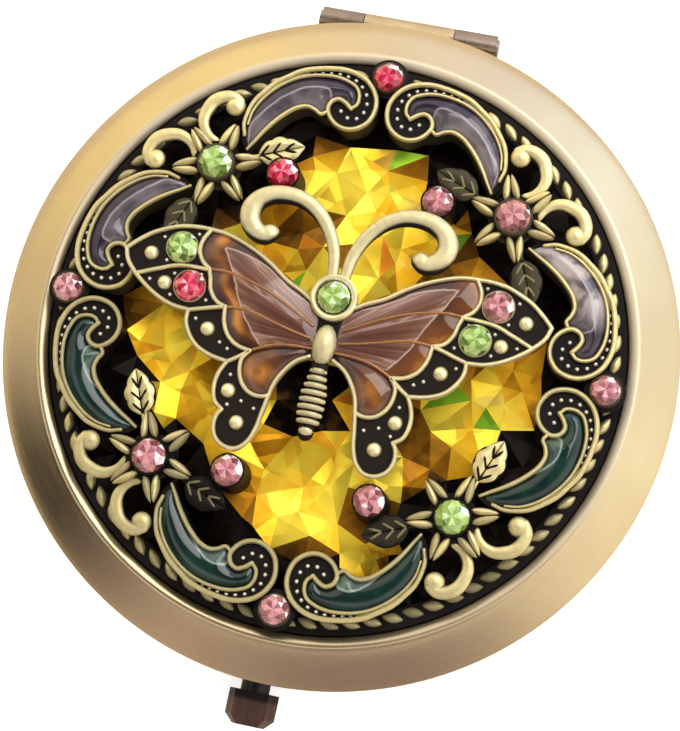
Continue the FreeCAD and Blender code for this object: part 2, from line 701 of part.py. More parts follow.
def abdomen():
    """A tapering body with raised rings, turned about a line along Y."""
    step = (ABDOMEN_BACK - ABDOMEN_FRONT) / ABDOMEN_RINGS

    def radius(y):
        share = (ABDOMEN_BACK - y) / (ABDOMEN_BACK - ABDOMEN_FRONT)
        swell = math.sin(math.pi * (ABDOMEN_END_SHARE + (1 - ABDOMEN_END_SHARE) * share) ** ABDOMEN_SWELL)
        return ABDOMEN_RADIUS * max(swell, ABDOMEN_END_SHARE) - ABDOMEN_RIDGE

    start = V(0, ABDOMEN_BACK, BODY_AXIS)
    here = V(radius(ABDOMEN_BACK), ABDOMEN_BACK, BODY_AXIS)
    edges = [Part.LineSegment(start, here).toShape()]
    for i in range(ABDOMEN_RINGS):
        middle_y = ABDOMEN_BACK - step * (i + 0.5)
        end_y = ABDOMEN_BACK - step * (i + 1)
        middle = V(radius(middle_y) + ABDOMEN_RIDGE, middle_y, BODY_AXIS)
        end = V(radius(end_y), end_y, BODY_AXIS)
        edges.append(Part.Arc(here, middle, end).toShape())
        here = end
    tip = V(0, ABDOMEN_FRONT, BODY_AXIS)
    edges.append(Part.LineSegment(here, tip).toShape())
    edges.append(Part.LineSegment(tip, start).toShape())
    return Part.Face(Part.Wire(edges)).revolve(start, V(0, 1, 0), 360)


def wing():
    body = plate(WING, WING_BOTTOM, WING_TOP)
    body = body.cut([plate(cell, WING_POCKET, WING_TOP) for cell in [FORE_CELL, HIND_CELL] + MARGIN_CELLS])
    beads = [ball(WING_BEAD_RADIUS, x, y, WING_POCKET) for x, y in WING_BEADS]
    posts = [disc(WING_POST_RADIUS, FOIL_TOP, WING_BOTTOM, x, y) for x, y in WING_POSTS]
    return body.fuse(beads + posts)


def butterfly():
    half = joined([wing(), antenna()])
    radius, seat, _ = HEAD_STONE
    head = disc(HEAD_RADIUS, WING_BOTTOM, HEAD_RIM, *HEAD_AT)
    thorax = egg(THORAX_BACK, THORAX_FRONT, THORAX_RADIUS, BODY_AXIS)
    body = joined([half, flipped(half), head, thorax, abdomen()])
    return on_butterfly(body.cut(disc(radius, seat, HEAD_RIM, *HEAD_AT)))


def enamels(butterfly_body):
    """Scroll enamels by name, violet at the back and green at the front, then the wing enamels."""
    fill = plate(SCROLL_ENAMEL, SCROLL_ENAMEL_FLOOR, SCROLL_ENAMEL_TOP)
    pair = (fill, across_diagonal(fill))
    found = {}
    for corner, turn in zip(("back_right", "back_left", "front_left", "front_right"), QUARTER_TURNS):
        colour = "violet" if corner.startswith("back") else "green"
        for number, shape in enumerate(pair, 1):
            found["enamel_" + colour + "_" + corner + "_" + str(number)] = turned_by(shape, turn)
    for name, cell in (("fore", FORE_CELL), ("hind", HIND_CELL)):
        right = plate(cell, WING_POCKET, WING_ENAMEL_TOP)
        for side, shape in (("right", right), ("left", flipped(right))):
            found["enamel_" + name + "wing_" + side] = on_butterfly(shape).cut(butterfly_body)
    return found


def stones():
    """Every stone by name."""
    found = {}
    for corner, turn in zip(("back_right", "back_left", "front_left", "front_right"), QUARTER_TURNS):
        found["stone_flower_" + corner] = turned_by(stone(FLOWER_STONE, FLOWER_AT, FLOWER_AT), turn)
    for side, turn in zip(("back", "left", "front", "right"), QUARTER_TURNS):
        found["stone_border_" + side] = turned_by(stone(BORDER_STONE, 0, BORDER_AT), turn)
    for corner, place in ACCENTS.items():
        found["stone_accent_" + corner] = stone(ACCENT_STONE, *place)
    for side, way in (("right", 1), ("left", -1)):
        for place, (x, y) in (("upper", WING_STONE_UPPER), ("lower", WING_STONE_LOWER)):
            found["stone_wing_" + place + "_" + side] = on_butterfly(stone(WING_STONE, way * x, y))
    found["stone_head"] = on_butterfly(stone(HEAD_STONE, *HEAD_AT))
    return found


def main():
    os.makedirs("parts", exist_ok=True)
    shell = base_shell()
    save("base_shell", shell)
    save("base_tray", base_tray())
    for half, floor, way in (("base", TRAY_TOP, 1), ("lid", LID_UNDER, -1)):
        for piece, shape in zip(("pad", "glass", "bezel"), mirror_set(floor, way)):
            save(half + "_mirror_" + piece, shape)
    save("hinge_knuckle_left", hinge_outer(-1))
    save("hinge_knuckle_right", hinge_outer(1))
    save("hinge_knuckle_lid", hinge_centre())
    save("hinge_pin", hinge_pin())
    save("button_bushing", rod_y(BUSHING_RADIUS, BUSHING_FRONT, BUSHING_BACK).cut(
        rod_y(STEM_RADIUS + STEM_PLAY, BUSHING_FRONT, BUSHING_BACK)))
    save("button_cap", button_cap())
    save("button_stem", rod_y(STEM_RADIUS, CAP_BACK, STEM_END))
    save("latch_hook", latch_hook())
    save("latch_guide", latch_guide(shell))
    save("latch_spring", latch_spring())
    save("lid_shell", lid_shell())
    save("lid_catch", lid_catch())
    save("foil_panel", disc(FOIL_RADIUS, RECESS_FLOOR, FOIL_TOP))
    filigree = border_filigree()
    save("border_filigree", filigree)
    save("rope_border", rope_border().cut(filigree))
    figure = butterfly().cut(filigree)
    save("butterfly", figure)
    for name, shape in {**enamels(figure), **stones()}.items():
        save(name, shape)


main()
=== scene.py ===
import bmesh
import bpy
import cmath
import random
import numpy as np
from math import atan2, cos, degrees, dist, hypot, pi, radians, sin, sqrt
from mathutils import Matrix, Vector
from mathutils.geometry import delaunay_2d_cdt


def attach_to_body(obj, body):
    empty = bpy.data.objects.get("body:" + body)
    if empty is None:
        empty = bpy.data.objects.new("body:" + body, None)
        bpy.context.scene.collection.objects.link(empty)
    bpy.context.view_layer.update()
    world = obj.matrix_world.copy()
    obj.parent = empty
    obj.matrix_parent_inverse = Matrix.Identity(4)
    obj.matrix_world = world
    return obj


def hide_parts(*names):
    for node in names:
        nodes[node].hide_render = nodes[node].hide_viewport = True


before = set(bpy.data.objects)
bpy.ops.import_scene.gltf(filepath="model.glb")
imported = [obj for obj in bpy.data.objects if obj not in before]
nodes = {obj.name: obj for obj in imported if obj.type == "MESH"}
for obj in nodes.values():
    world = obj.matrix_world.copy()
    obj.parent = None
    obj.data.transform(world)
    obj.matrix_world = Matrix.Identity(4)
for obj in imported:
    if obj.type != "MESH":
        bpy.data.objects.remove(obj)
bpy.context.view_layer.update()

# Flat lines and levels below are in millimetres, in the frame of the part.
MM = 0.001
# Turned forms start this far from their axis
AXIS_GAP = 0.01
CORNERS = ("back_right", "back_left", "front_left", "front_right")
SIDES = ("back", "left", "front", "right")
QUARTER_TURNS = (0, 90, 180, 270)

# Levels
LID_BOTTOM = 6.7
LID_UNDER = 8.4
RECESS_FLOOR = 9.0
FOIL_TOP = 9.3
SCROLL_FLOOR = 12.2
SCROLL_TOP = 12.75
WING_BOTTOM = 13.4
WING_FLOOR = 14.25
WING_TOP = 14.65

# Scroll lines of the first quadrant, on the back side of its diagonal
SCROLL_EDGE = [
    [(12.6, 17.2), (13.4, 18.3), (13.8, 20.4), (13.3, 22.2), (11.6, 24.9), (9.5, 26.55), (7.0, 27.5),
     (4.5, 27.8), (2.45, 27.3), (0.9, 25.95), (0.5, 24.3), (0.95, 22.5), (3.1, 21.35), (5.1, 22.3)],
    [(6.0, 22.45), (7.4, 23.05), (9.0, 22.3), (11.0, 19.8)],
]
SCROLL_ENAMEL = [
    [(12.75, 17.95), (13.3, 19.2), (13.35, 20.6), (12.2, 23.3), (9.9, 25.5), (6.8, 26.55), (4.2, 26.4),
     (2.8, 25.6), (2.75, 24.4), (3.15, 23.95), (4.4, 24.7), (5.4, 24.2)],
    [(5.68, 23.4)],
    [(6.05, 22.75), (7.4, 23.3), (9.3, 22.4), (11.3, 20.0)],
]
SCROLL_WIRE = [
    (13.3, 19.0), (13.6, 20.2), (13.5, 21.2), (13.1, 22.6), (12.3, 23.8), (11.3, 25.0), (10.1, 25.9),
    (8.9, 26.7), (7.5, 27.2), (6.1, 27.5), (4.5, 27.64), (3.1, 27.4), (1.9, 26.8), (1.1, 25.9), (0.66, 24.8),
    (0.66, 23.8), (1.1, 22.6), (2.1, 21.76), (3.1, 21.5), (4.1, 21.7), (5.0, 22.4), (5.44, 23.3), (5.2, 24.1),
    (4.5, 24.5), (3.8, 24.25), (3.1, 23.7)]
SCROLL_HOOK = [
    (3.1, 23.7), (2.6, 24.2), (2.5, 25.1), (2.9, 25.95), (3.9, 26.5), (5.1, 26.75), (6.5, 26.7), (7.6, 26.5),
    (9.0, 26.0), (10.3, 25.2), (11.4, 24.2), (12.4, 22.9), (13.0, 21.6), (13.2, 20.2)]
SCROLL_INNER = [
    (5.5, 22.9), (6.0, 22.6), (6.7, 22.95), (7.5, 23.15), (8.6, 22.8), (9.6, 22.0), (10.6, 20.9),
    (11.5, 19.6), (12.2, 18.4), (12.7, 17.6)]
SCROLL_BAND = [(8.1, 26.7), (9.6, 25.95), (10.8, 25.05), (11.8, 24.0), (12.6, 22.8), (13.1, 21.6)]
# Outer edges of the sheen, a painted reflection, in the violet and green fills
VIOLET_SHEEN = [(5.3, 24.6), (5.5, 25.2), (7.5, 25.3), (10.0, 23.9), (12.0, 21.7), (13.0, 20.3), (12.9, 18.6)]
GREEN_SHEEN = [(5.4, 23.6), (5.6, 24.4), (6.5, 24.6), (7.6, 24.3), (8.8, 23.4), (9.9, 22.0), (10.9, 20.7)]
# Beads between the two wires round the head of the scroll
TRACK_BEADS = [
    (4.1, 23.35), (3.3, 22.75), (2.35, 22.85), (1.75, 23.6), (1.6, 24.55), (1.85, 25.5), (2.45, 26.25),
    (3.2, 26.8), (4.1, 27.08), (5.0, 27.18), (5.9, 27.1), (6.75, 26.96), (7.5, 26.76)]

# Curl, leaf and flower of the first quadrant
CURL = [(16.1, 17.9), (16.9, 18.3), (17.6, 19.1), (17.86, 20.0), (17.7, 21.0), (17.2, 22.0), (16.3, 22.6),
        (15.3, 22.75), (14.6, 22.4)]
CURL_RADII = (0.38, 0.48, 0.58, 0.66, 0.7, 0.66, 0.58)
CURL_LEVEL = 12.25
CURL_BALL = (14.9, 21.9)
LEAF_STEM = (12.9, 16.6)
LEAF_ROOT = (11.4, 17.1)
LEAF_TIP = (6.9, 18.9)
FLOWER_AT = (15.4, 15.4)
PETALS = 6
# Leaves drawn dark, counted in pairs round from the back right flower
DIM_LEAVES = (0, 1, 2, 4, 7)

# Stones: radius, girdle level, table level
FLOWER_STONE = (1.72, 13.75, 14.85)
BORDER_STONE = (1.5, 12.55, 13.4)
ACCENT_STONE = (1.58, 14.05, 15.0)
WING_STONE = (1.58, 14.6, 15.5)
HEAD_STONE = (1.66, 15.1, 16.15)
BORDER_AT = (0.0, 27.7)
ACCENTS = {"back_right": (7.7, 15.4), "back_left": (-8.3, 15.4), "front_left": (-7.3, -15.3),
           "front_right": (7.1, -15.5)}
HEAD_AT = (0.0, 3.6)
WING_STONES = {"upper": (16.2, 5.85), "lower": (14.6, 2.1)}
PERIDOT = ("flower_back_left", "flower_front_right", "head", "wing_upper_left", "wing_lower_right")
RUBY = ("border_back", "accent_back_left", "wing_lower_left")

# Lines of the right wing; the whole butterfly sits a little to the left
BUTTERFLY_X = -0.4
WING_EDGE = [
    [(0.0, 2.2), (1.6, 2.4), (3.0, 3.6), (7.0, 6.0), (10.2, 7.6), (14.2, 8.3), (18.0, 7.6)],
    [(21.9, 4.76), (20.5, 2.45), (17.65, 0.4)],
    [(14.3, -0.4), (13.8, -2.6), (12.0, -4.2)],
    [(9.3, -4.8), (10.05, -6.9), (9.8, -8.5)],
    [(8.8, -9.5), (9.25, -11.3), (8.0, -13.0), (6.5, -13.2), (5.3, -11.9), (4.6, -9.1), (4.0, -6.0),
     (2.3, -3.4)],
    [(0.9, -2.6)],
    [(0.0, -2.6)],
]
WIRE_RADIUS = 0.23
WING_WIRES = [
    [(2.2, 3.0), (3.0, 3.5), (5.0, 4.5), (7.0, 5.9), (9.0, 7.0), (10.2, 7.5), (11.8, 8.0), (13.6, 8.2),
     (15.0, 8.2), (16.6, 8.0), (18.0, 7.5), (19.4, 6.8), (20.8, 5.7), (21.75, 4.76)],
    [(21.75, 4.76), (21.4, 3.7), (20.4, 2.5), (19.2, 1.5), (17.6, 0.5), (16.0, -0.1), (14.2, -0.3)],
    [(14.2, -0.3), (12.8, 0.1), (11.8, 0.4), (10.6, 0.7)],
    [(13.7, 8.1), (14.3, 6.9), (14.36, 5.9), (13.9, 4.9), (13.0, 4.2)],
    [(13.0, 4.2), (12.7, 3.3), (12.4, 2.1), (11.6, 1.1), (10.6, 0.7)],
    [(13.0, 4.1), (14.6, 4.1), (16.4, 3.9), (18.0, 3.3), (20.2, 2.4)],
    [(14.2, -0.3), (14.2, -1.3), (13.7, -2.5), (12.6, -3.7), (11.0, -4.4), (9.2, -4.7)],
    [(10.6, 0.7), (10.4, -0.7), (9.7, -2.1), (8.6, -2.9), (7.2, -3.2)],
    [(7.2, -3.2), (7.8, -3.7), (8.6, -4.3), (9.2, -4.7)],
    [(9.2, -4.7), (9.7, -5.7), (9.96, -6.9), (9.9, -7.9), (9.5, -8.9), (8.7, -9.5)],
    [(8.7, -9.5), (9.05, -10.1), (9.15, -11.3), (8.7, -12.4), (7.7, -13.05), (6.5, -13.05), (5.6, -12.3),
     (5.0, -10.9), (4.7, -9.1), (4.4, -7.3), (4.1, -5.9), (3.4, -4.5), (2.4, -3.3), (1.2, -2.6)],
    [(7.2, -3.2), (7.8, -4.1), (7.8, -5.3), (7.3, -6.5), (6.4, -7.3), (5.2, -7.5), (4.5, -7.3)],
]
WING_VEINS = [
    [(13.0, 4.2), (11.0, 4.2), (9.0, 3.8), (7.0, 3.2), (5.0, 2.3), (3.0, 1.3), (1.5, 0.5)],
    [(10.6, 0.7), (9.0, 0.8), (7.4, 0.6), (5.6, 0.1), (3.6, -0.4), (1.6, -0.8)],
    [(7.2, -3.2), (6.2, -2.7), (5.0, -2.2), (3.4, -1.9), (1.2, -1.8)],
]
FORE_CELL = [
    [(1.2, 2.1), (2.4, 2.8), (4.0, 3.9), (7.1, 5.7), (10.2, 7.3), (13.5, 8.0)],
    [(14.2, 6.4), (13.7, 4.8)],
    [(12.9, 4.2), (12.35, 2.3)],
    [(10.6, 0.75), (10.2, -0.9), (9.0, -2.5)],
    [(7.2, -3.1), (5.0, -2.15), (3.4, -1.85)],
    [(1.0, -1.75)],
]
# Ends of the forewing cell, the edge of its sheen, a painted reflection, and the root that closes the sheen
FORE_ENDS = [(13.5, 8.0), (14.3, 6.4), (13.7, 4.8), (12.9, 4.2), (12.35, 2.3), (10.6, 0.75), (10.2, -0.9),
             (9.0, -2.5), (7.2, -3.1)]
WING_SHEEN = [(3.2, 3.1), (5.0, 4.05), (7.25, 5.45), (8.7, 6.1), (10.1, 6.55), (12.1, 6.8), (10.75, 4.3),
              (9.6, 2.2), (8.5, -0.05), (7.3, -1.65), (6.6, -2.4)]
WING_ROOT = [(1.2, -1.8), (1.2, 2.0)]
HIND_CELL = [
    [(1.3, -1.9), (4.2, -2.1), (6.4, -2.95), (7.6, -4.5), (7.15, -6.4), (5.6, -7.3)],
    [(4.5, -7.1), (3.9, -5.0), (2.6, -3.3)],
]
# Middle of the amber in the hindwing cell
HIND_GLOW = (5.9, -5.2)
WING_BEADS = [(19.2, 4.75), (17.2, 2.0), (11.9, -1.8), (8.5, -7.5), (7.0, -10.5)]
WING_DOTS = [(14.8, 7.5), (18.2, 6.6), (17.5, 4.3), (13.7, 3.5), (16.4, 3.1), (18.8, 2.1), (16.4, 0.9),
             (12.7, 1.0), (13.3, -1.0), (10.4, -2.9), (9.5, -3.4), (8.6, -5.9), (5.6, -8.8), (7.0, -8.3),
             (8.3, -8.9)]
ANTENNA = [(0.6, 5.6), (0.7, 6.5), (0.9, 7.9), (1.4, 9.3), (2.3, 10.8), (3.6, 12.1), (5.2, 12.9), (6.8, 13.1),
           (8.4, 12.8), (9.6, 12.0), (10.15, 10.9), (9.9, 9.7), (9.2, 8.9), (8.2, 8.6), (7.7, 8.9)]
ANTENNA_RADII = (0.55, 0.6, 0.66, 0.74, 0.82, 0.9, 0.98, 1.04, 1.02, 0.95)
ANTENNA_LEVEL = 14.5


# Flat lines
def smooth_line(points, step=0.15):
    """Evenly spaced places on a smooth line through flat points."""
    pts = np.array(points, float)
    gaps = np.linalg.norm(np.diff(pts, axis=0), axis=1)
    slopes = np.diff(pts, axis=0) / gaps[:, None]
    inner = (slopes[1:] * gaps[:-1, None] + slopes[:-1] * gaps[1:, None]) / (gaps[1:] + gaps[:-1])[:, None]
    lean = np.vstack([slopes[:1], inner, slopes[-1:]])
    places = []
    for i, gap in enumerate(gaps):
        t = np.linspace(0, 1, max(2, int(gap / step) + 1), endpoint=False)[:, None]
        a, b, c, d = 2 * t**3 - 3 * t**2 + 1, t**3 - 2 * t**2 + t, -2 * t**3 + 3 * t**2, t**3 - t**2
        places.append(a * pts[i] + b * gap * lean[i] + c * pts[i + 1] + d * gap * lean[i + 1])
    return np.vstack(places + [pts[-1:]])


def outline(runs, step=0.2):
    """A closed outline of smooth runs; a corner lies at the start of each run."""
    parts = []
    for i, run in enumerate(runs):
        parts.append(smooth_line(run + runs[(i + 1) % len(runs)][:1], step)[:-1])
    edge = np.vstack(parts)
    x, y = edge.T
    area = np.sum(x * np.roll(y, -1) - y * np.roll(x, -1))
    return edge if area > 0 else edge[::-1]


def circle(x, y, radius, count=32, start=0.0):
    """Even places round a circle, from a start in degrees."""
    angle = radians(start) + np.linspace(0, 2 * pi, count, endpoint=False)
    return np.column_stack([x + radius * np.cos(angle), y + radius * np.sin(angle)])


def beside(run):
    """The unit direction to the left of a flat run."""
    return np.array([-run[1], run[0]]) / np.linalg.norm(run)


def drawn_out(values, count):
    """Values spread evenly over a count of places."""
    values = np.atleast_1d(values)
    return np.interp(np.linspace(0, 1, count), np.linspace(0, 1, len(values)), values)


def raised(flat, z):
    """Flat points at one level, or each at its own."""
    return np.column_stack([flat, np.broadcast_to(z, len(flat))])


def away(points, line):
    """Distance from each flat point to a line of points."""
    a, b = line[:-1], line[1:]
    run = b - a
    share = np.einsum("pik,ik->pi", points[:, None] - a, run) / np.maximum((run**2).sum(1), 1e-12)
    near = a + np.clip(share, 0, 1)[..., None] * run
    return np.linalg.norm(points[:, None] - near, axis=2).min(1)


def inside(points, edge):
    """Which flat points lie inside a closed outline."""
    x, y = points[:, :1], points[:, 1:]
    (x0, y0), (x1, y1) = edge.T, np.roll(edge, -1, axis=0).T
    spans = (y0 > y) != (y1 > y)
    cross = x < (x1 - x0) * (y - y0) / np.where(y1 == y0, 1e-12, y1 - y0) + x0
    return (spans & cross).sum(1) % 2 == 1


def closed(edge):
    """An outline with its first point again at its end."""
    return np.vstack([edge, edge[:1]])


def inner_grid(edge, spacing):
    """Staggered rows of points inside a closed outline, clear of its edge."""
    row_share, edge_share = 0.87, 0.6
    low, high = edge.min(0), edge.max(0)
    rows = []
    for j, y in enumerate(np.arange(low[1], high[1], spacing * row_share)):
        xs = np.arange(low[0] + spacing / 2 * (j % 2), high[0], spacing)
        rows.append(np.column_stack([xs, np.full(len(xs), y)]))
    inner = np.vstack(rows)
    inner = inner[inside(inner, edge)]
    return inner[away(inner, closed(edge)) > spacing * edge_share]


def tiled(edge, inner=()):
    """Triangles over a closed outline, with corners at its points and at the inner ones."""
    inside_only, tolerance = 1, 1e-7
    places = [Vector(p) for p in edge] + [Vector(p) for p in inner]
    found = delaunay_2d_cdt(places, [], [list(range(len(edge)))], inside_only, tolerance)
    return np.array([v[:] for v in found[0]]), [tuple(f) for f in found[2]]


def grid_faces(rows, cols, ring=False):
    """Faces between the points of a grid, whose rows may be rings."""
    faces = []
    for i in range(rows - 1):
        for j in range(cols if ring else cols - 1):
            k = (j + 1) % cols
            faces.append((i * cols + j, i * cols + k, (i + 1) * cols + k, (i + 1) * cols + j))
    return faces


def turn(angle):
    c, s = cos(radians(angle)), sin(radians(angle))
    return np.array([[c, -s], [s, c]])


SAME = np.eye(2)
DIAGONAL = np.array([[0.0, 1.0], [1.0, 0.0]])
FLIP = np.array([[-1.0, 0.0], [0.0, 1.0]])
EIGHTHS = [turn(q) @ way for q in QUARTER_TURNS for way in (SAME, DIAGONAL)]
QUARTERS = [turn(q) for q in QUARTER_TURNS]
TWINS = [SAME, FLIP]


# Forms
class Sculpt:
    """Forms gathered into one mesh; tone is the share of dark patina and painted shade on each vertex."""

    def __init__(self):
        self.forms = []

    def add(self, verts, faces, tone):
        verts = np.asarray(verts, float)
        self.forms.append((verts, faces, np.broadcast_to(np.asarray(tone, float), len(verts))))

    def place(self, other, ways, more=0.0):
        """Copies of another sculpt's forms, each turned or flipped by a flat matrix, with more painted shade.
        """
        for way in ways:
            for verts, faces, tone in other.forms:
                moved = verts.copy()
                moved[:, :2] = verts[:, :2] @ way.T
                self.forms.append((moved, faces, np.minimum(tone + more, 1.0)))

    def move(self, x):
        for verts, _, _ in self.forms:
            verts[:, 0] += x

    def tube(self, line, radii, z, rise=1.0, sides=10, tone=0.0, under=0.0, front=0.0, blunt=1.0):
        """A wire along a flat line; radii and z may change along it; painted shade may darken its sides and
        underside and its side that faces the front.

        A blunt power below one squares its section.
        """
        line = np.asarray(line, float)
        radii, z = drawn_out(radii, len(line)), drawn_out(z, len(line))
        along = np.gradient(line, axis=0)
        along /= np.maximum(np.linalg.norm(along, axis=1), 1e-9)[:, None]

        def cap(i, way, angles):
            return [(line[i] + way * along[i] * radii[i] * sin(a), along[i],
                     radii[i] * cos(a), z[i]) for a in np.radians(angles)]

        stations = cap(0, -1, (80, 55, 28)) + list(zip(line, along, radii, z)) + cap(-1, 1, (28, 55, 80))
        c, s = circle(0, 0, 1, sides).T
        out = np.copysign(abs(c) ** blunt, c)
        lift = rise * np.copysign(abs(s) ** blunt, s)
        verts, shade = [], []
        for place, ahead, radius, level in stations:
            verts.append(raised(place + np.outer(radius * out, beside(ahead)), level + radius * lift))
            # Painted shade on the sides and underside, and on the side that faces the front
            shade.append(tone + under * np.maximum(0.5 - s, 0) + front * np.maximum(-ahead[0] * c - 0.3, 0))
        faces = grid_faces(len(stations), sides, True)
        faces.append(tuple(range(sides))[::-1])
        faces.append(tuple(range((len(stations) - 1) * sides, len(stations) * sides)))
        self.add(np.vstack(verts), faces, np.clip(np.concatenate(shade), 0, 1))

    def plate(self, edge, z0, z1, side_tone):
        """A dark flat plate with upright sides of a tone of their own."""
        flat, faces = tiled(edge)
        self.add(raised(flat, z1), faces, 1.0)
        self.add(raised(flat, z0), [f[::-1] for f in faces], 1.0)
        ring = np.vstack([raised(edge, z0), raised(edge, z1)])
        self.add(ring, grid_faces(2, len(edge), True), side_tone)

    def pillow(self, start, end, half_width, z, rise, depth, tone, blunt=0.8, lead=1.0):
        """A swollen pointed oval between two flat points; a low lead puts its widest place near the start."""
        start, end = np.array(start), np.array(end)
        run = end - start
        side = beside(run)
        across = (-1.0, -1.0, -0.85, -0.5, 0.0, 0.5, 0.85, 1.0, 1.0)
        rows = np.linspace(0.0, 1.0, 13)
        verts = []
        for t in rows:
            fat = sin(pi * t**lead) ** blunt if 0 < t < 1 else 0.0
            for j, s in enumerate(across):
                x, y = start + run * t + side * (half_width * fat * s)
                lift = rise * fat**0.6 * sqrt(1 - s * s)
                verts.append((x, y, z + lift - (depth if j in (0, len(across) - 1) else 0)))
        self.add(verts, grid_faces(len(rows), len(across)), tone)

    def vane(self, start, end, width, z, rise, tone):
        """Half a leaf: a swollen strip out to a lobed edge; the sign of the width picks its side."""
        run = end - start
        side = beside(run)
        rows, cols = np.linspace(0, 1, 19), np.linspace(0, 1, 7)
        verts = []
        for t in rows:
            lobes = 0.86 + 0.14 * abs(sin(3 * pi * t))
            share = sin(pi * t**0.85) ** 0.75 * lobes if 0 < t < 1 else 0.0
            for s in cols:
                x, y = start + run * t + side * (width * share * s)
                lift = rise * sqrt(share) * sin(pi * (0.05 + 0.9 * s)) ** 0.6
                verts.append((x, y, z + lift))
        self.add(verts, grid_faces(len(rows), len(cols)), tone)

    def lathe(self, profile, x=0.0, y=0.0, sides=20, tone=1.0):
        """A form turned about an upright line from (radius, level) points."""
        rings = [raised(circle(x, y, radius, sides), z) for radius, z in profile]
        tone = np.broadcast_to(np.asarray(tone, float), len(profile))
        self.add(np.vstack(rings), grid_faces(len(profile), sides, True), np.repeat(tone, sides))

    def post(self, x, y, radius, top, tone=1.0):
        """An upright post on the foil, open at its ends."""
        self.lathe([(radius, FOIL_TOP), (radius, top)], x, y, tone=tone)

    def bead(self, x, y, z, radius, rise, tone=0.0, long=1.0):
        """Half a ball, flattened or raised, or drawn out along Y."""
        angles = np.radians([-25, 0, 20, 40, 60, 78, 90])
        self.lathe([(radius * max(cos(a), 1e-4), z + radius * rise * sin(a)) for a in angles],
                   x, y, 16, tone)
        verts = self.forms[-1][0]
        verts[:, 1] = y + (verts[:, 1] - y) * long

    def make(self, name, body, slot, material, replaced=(), sharp=40):
        """The finished piece, riding on a body."""
        verts = np.vstack([f[0] for f in self.forms]) * MM
        tones = np.concatenate([f[2] for f in self.forms])
        faces, base = [], 0
        for form, form_faces, _ in self.forms:
            faces += [tuple(i + base for i in f) for f in form_faces]
            base += len(form)
        return mesh_piece(name, verts, faces, material, body, replaced, sharp, tones)


def attach(mesh, name, values, domain="POINT"):
    """A value for each vertex or face, which the looks read by its name."""
    mesh.attributes.new(name, "FLOAT", domain).data.foreach_set("value", np.asarray(values, np.float32))


def put(name, data):
    """A new object in the scene."""
    made = bpy.data.objects.new(name, data)
    bpy.context.scene.collection.objects.link(made)
    return made


def mesh_piece(name, verts, faces, material, body, replaced, sharp=None, tones=None):
    """A mesh in metres as a piece that rides on a body and may take the place of nodes."""
    mesh = bpy.data.meshes.new(name)
    mesh.from_pydata([tuple(v) for v in verts], [], faces)
    if tones is not None:
        attach(mesh, "tone", tones)
    work = bmesh.new()
    work.from_mesh(mesh)
    if tones is not None:
        bmesh.ops.dissolve_degenerate(work, dist=1e-8, edges=work.edges)
    bmesh.ops.recalc_face_normals(work, faces=work.faces)
    work.to_mesh(mesh)
    work.free()
    if sharp is not None:
        mesh.polygons.foreach_set("use_smooth", [True] * len(mesh.polygons))
        mesh.set_sharp_from_angle(angle=radians(sharp))
    piece = put(name, mesh)
    mesh.materials.append(material)
    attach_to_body(piece, body)
    if replaced:
        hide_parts(*replaced)
    return piece


# Materials
# The range that most of a noise lies in
NOISE_RANGE = (0.3, 0.7)


class Look:
    """A material and short ways to add nodes to it."""

    def __init__(self, name):
        self.material = bpy.data.materials.new(name)
        self.material.use_nodes = True
        self.tree = self.material.node_tree
        self.shader = self.tree.nodes["Principled BSDF"]

    @classmethod
    def of(cls, tree):
        """The same short ways for a node tree that is no material's."""
        look = cls.__new__(cls)
        look.tree = tree
        return look

    def feed(self, socket, value):
        if isinstance(value, bpy.types.NodeSocket):
            self.tree.links.new(value, socket)
        elif isinstance(value, tuple) and len(value) == 3 and socket.type == "RGBA":
            socket.default_value = (*value, 1.0)
        else:
            socket.default_value = value

    def node(self, kind, inputs=(), out=0, **settings):
        made = self.tree.nodes.new("ShaderNode" + kind)
        for key, value in settings.items():
            setattr(made, key, value)
        for key, value in dict(inputs).items():
            self.feed(made.inputs[key], value)
        return made.outputs[out]

    def places(self):
        return self.node("TexCoord", out="Object")

    def noise(self, scale, detail=4.0, rough=0.55, place=None):
        inputs = {"Vector": place or self.places(), "Scale": scale, "Detail": detail, "Roughness": rough}
        return self.node("TexNoise", inputs)

    def attribute(self, name, out="Fac"):
        return self.node("Attribute", out=out, attribute_name=name)

    def math(self, operation, a, b=0.0, clamp=False):
        return self.node("Math", {0: a, 1: b}, operation=operation, use_clamp=clamp)

    def times(self, a, b, clamp=False):
        return self.math("MULTIPLY", a, b, clamp)

    def plus(self, a, b):
        return self.math("ADD", a, b)

    def off(self, value, middle):
        """How far a value lies from a middle one."""
        return self.math("ABSOLUTE", self.math("SUBTRACT", value, middle))

    def vector(self, operation, *terms):
        return self.node("VectorMath", dict(enumerate(terms)), operation=operation)

    def open_share(self, reach_mm):
        """How open the space over a place is, within a reach."""
        return self.node("AmbientOcclusion", {"Distance": reach_mm * MM}, out="AO", samples=8)

    def span(self, value, low, high, to_low=0.0, to_high=1.0, way="SMOOTHSTEP"):
        inputs = {"Value": value, "From Min": low, "From Max": high, "To Min": to_low, "To Max": to_high}
        return self.node("MapRange", inputs, interpolation_type=way)

    def spread(self, noise, low=0.0, high=1.0):
        """A noise drawn out between two values."""
        return self.span(noise, *NOISE_RANGE, low, high)

    def mix(self, share, a, b):
        return self.node("Mix", {0: share, 6: a, 7: b}, out=2, data_type="RGBA")

    def ramp(self, value, *stops):
        made = self.tree.nodes.new("ShaderNodeValToRGB")
        marks = made.color_ramp.elements
        while len(marks) < len(stops):
            marks.new(1.0)
        for mark, (at, colour) in zip(marks, stops):
            mark.position = at
            mark.color = (*colour, 1.0)
        self.feed(made.inputs["Fac"], value)
        return made.outputs["Color"]

    def bump(self, height, strength, distance_mm):
        inputs = {"Height": height, "Strength": strength, "Distance": distance_mm * MM}
        self.feed(self.shader.inputs["Normal"], self.node("Bump", inputs))

    def set(self, **inputs):
        for key, value in inputs.items():
            self.feed(self.shader.inputs[key.replace("_", " ")], value)


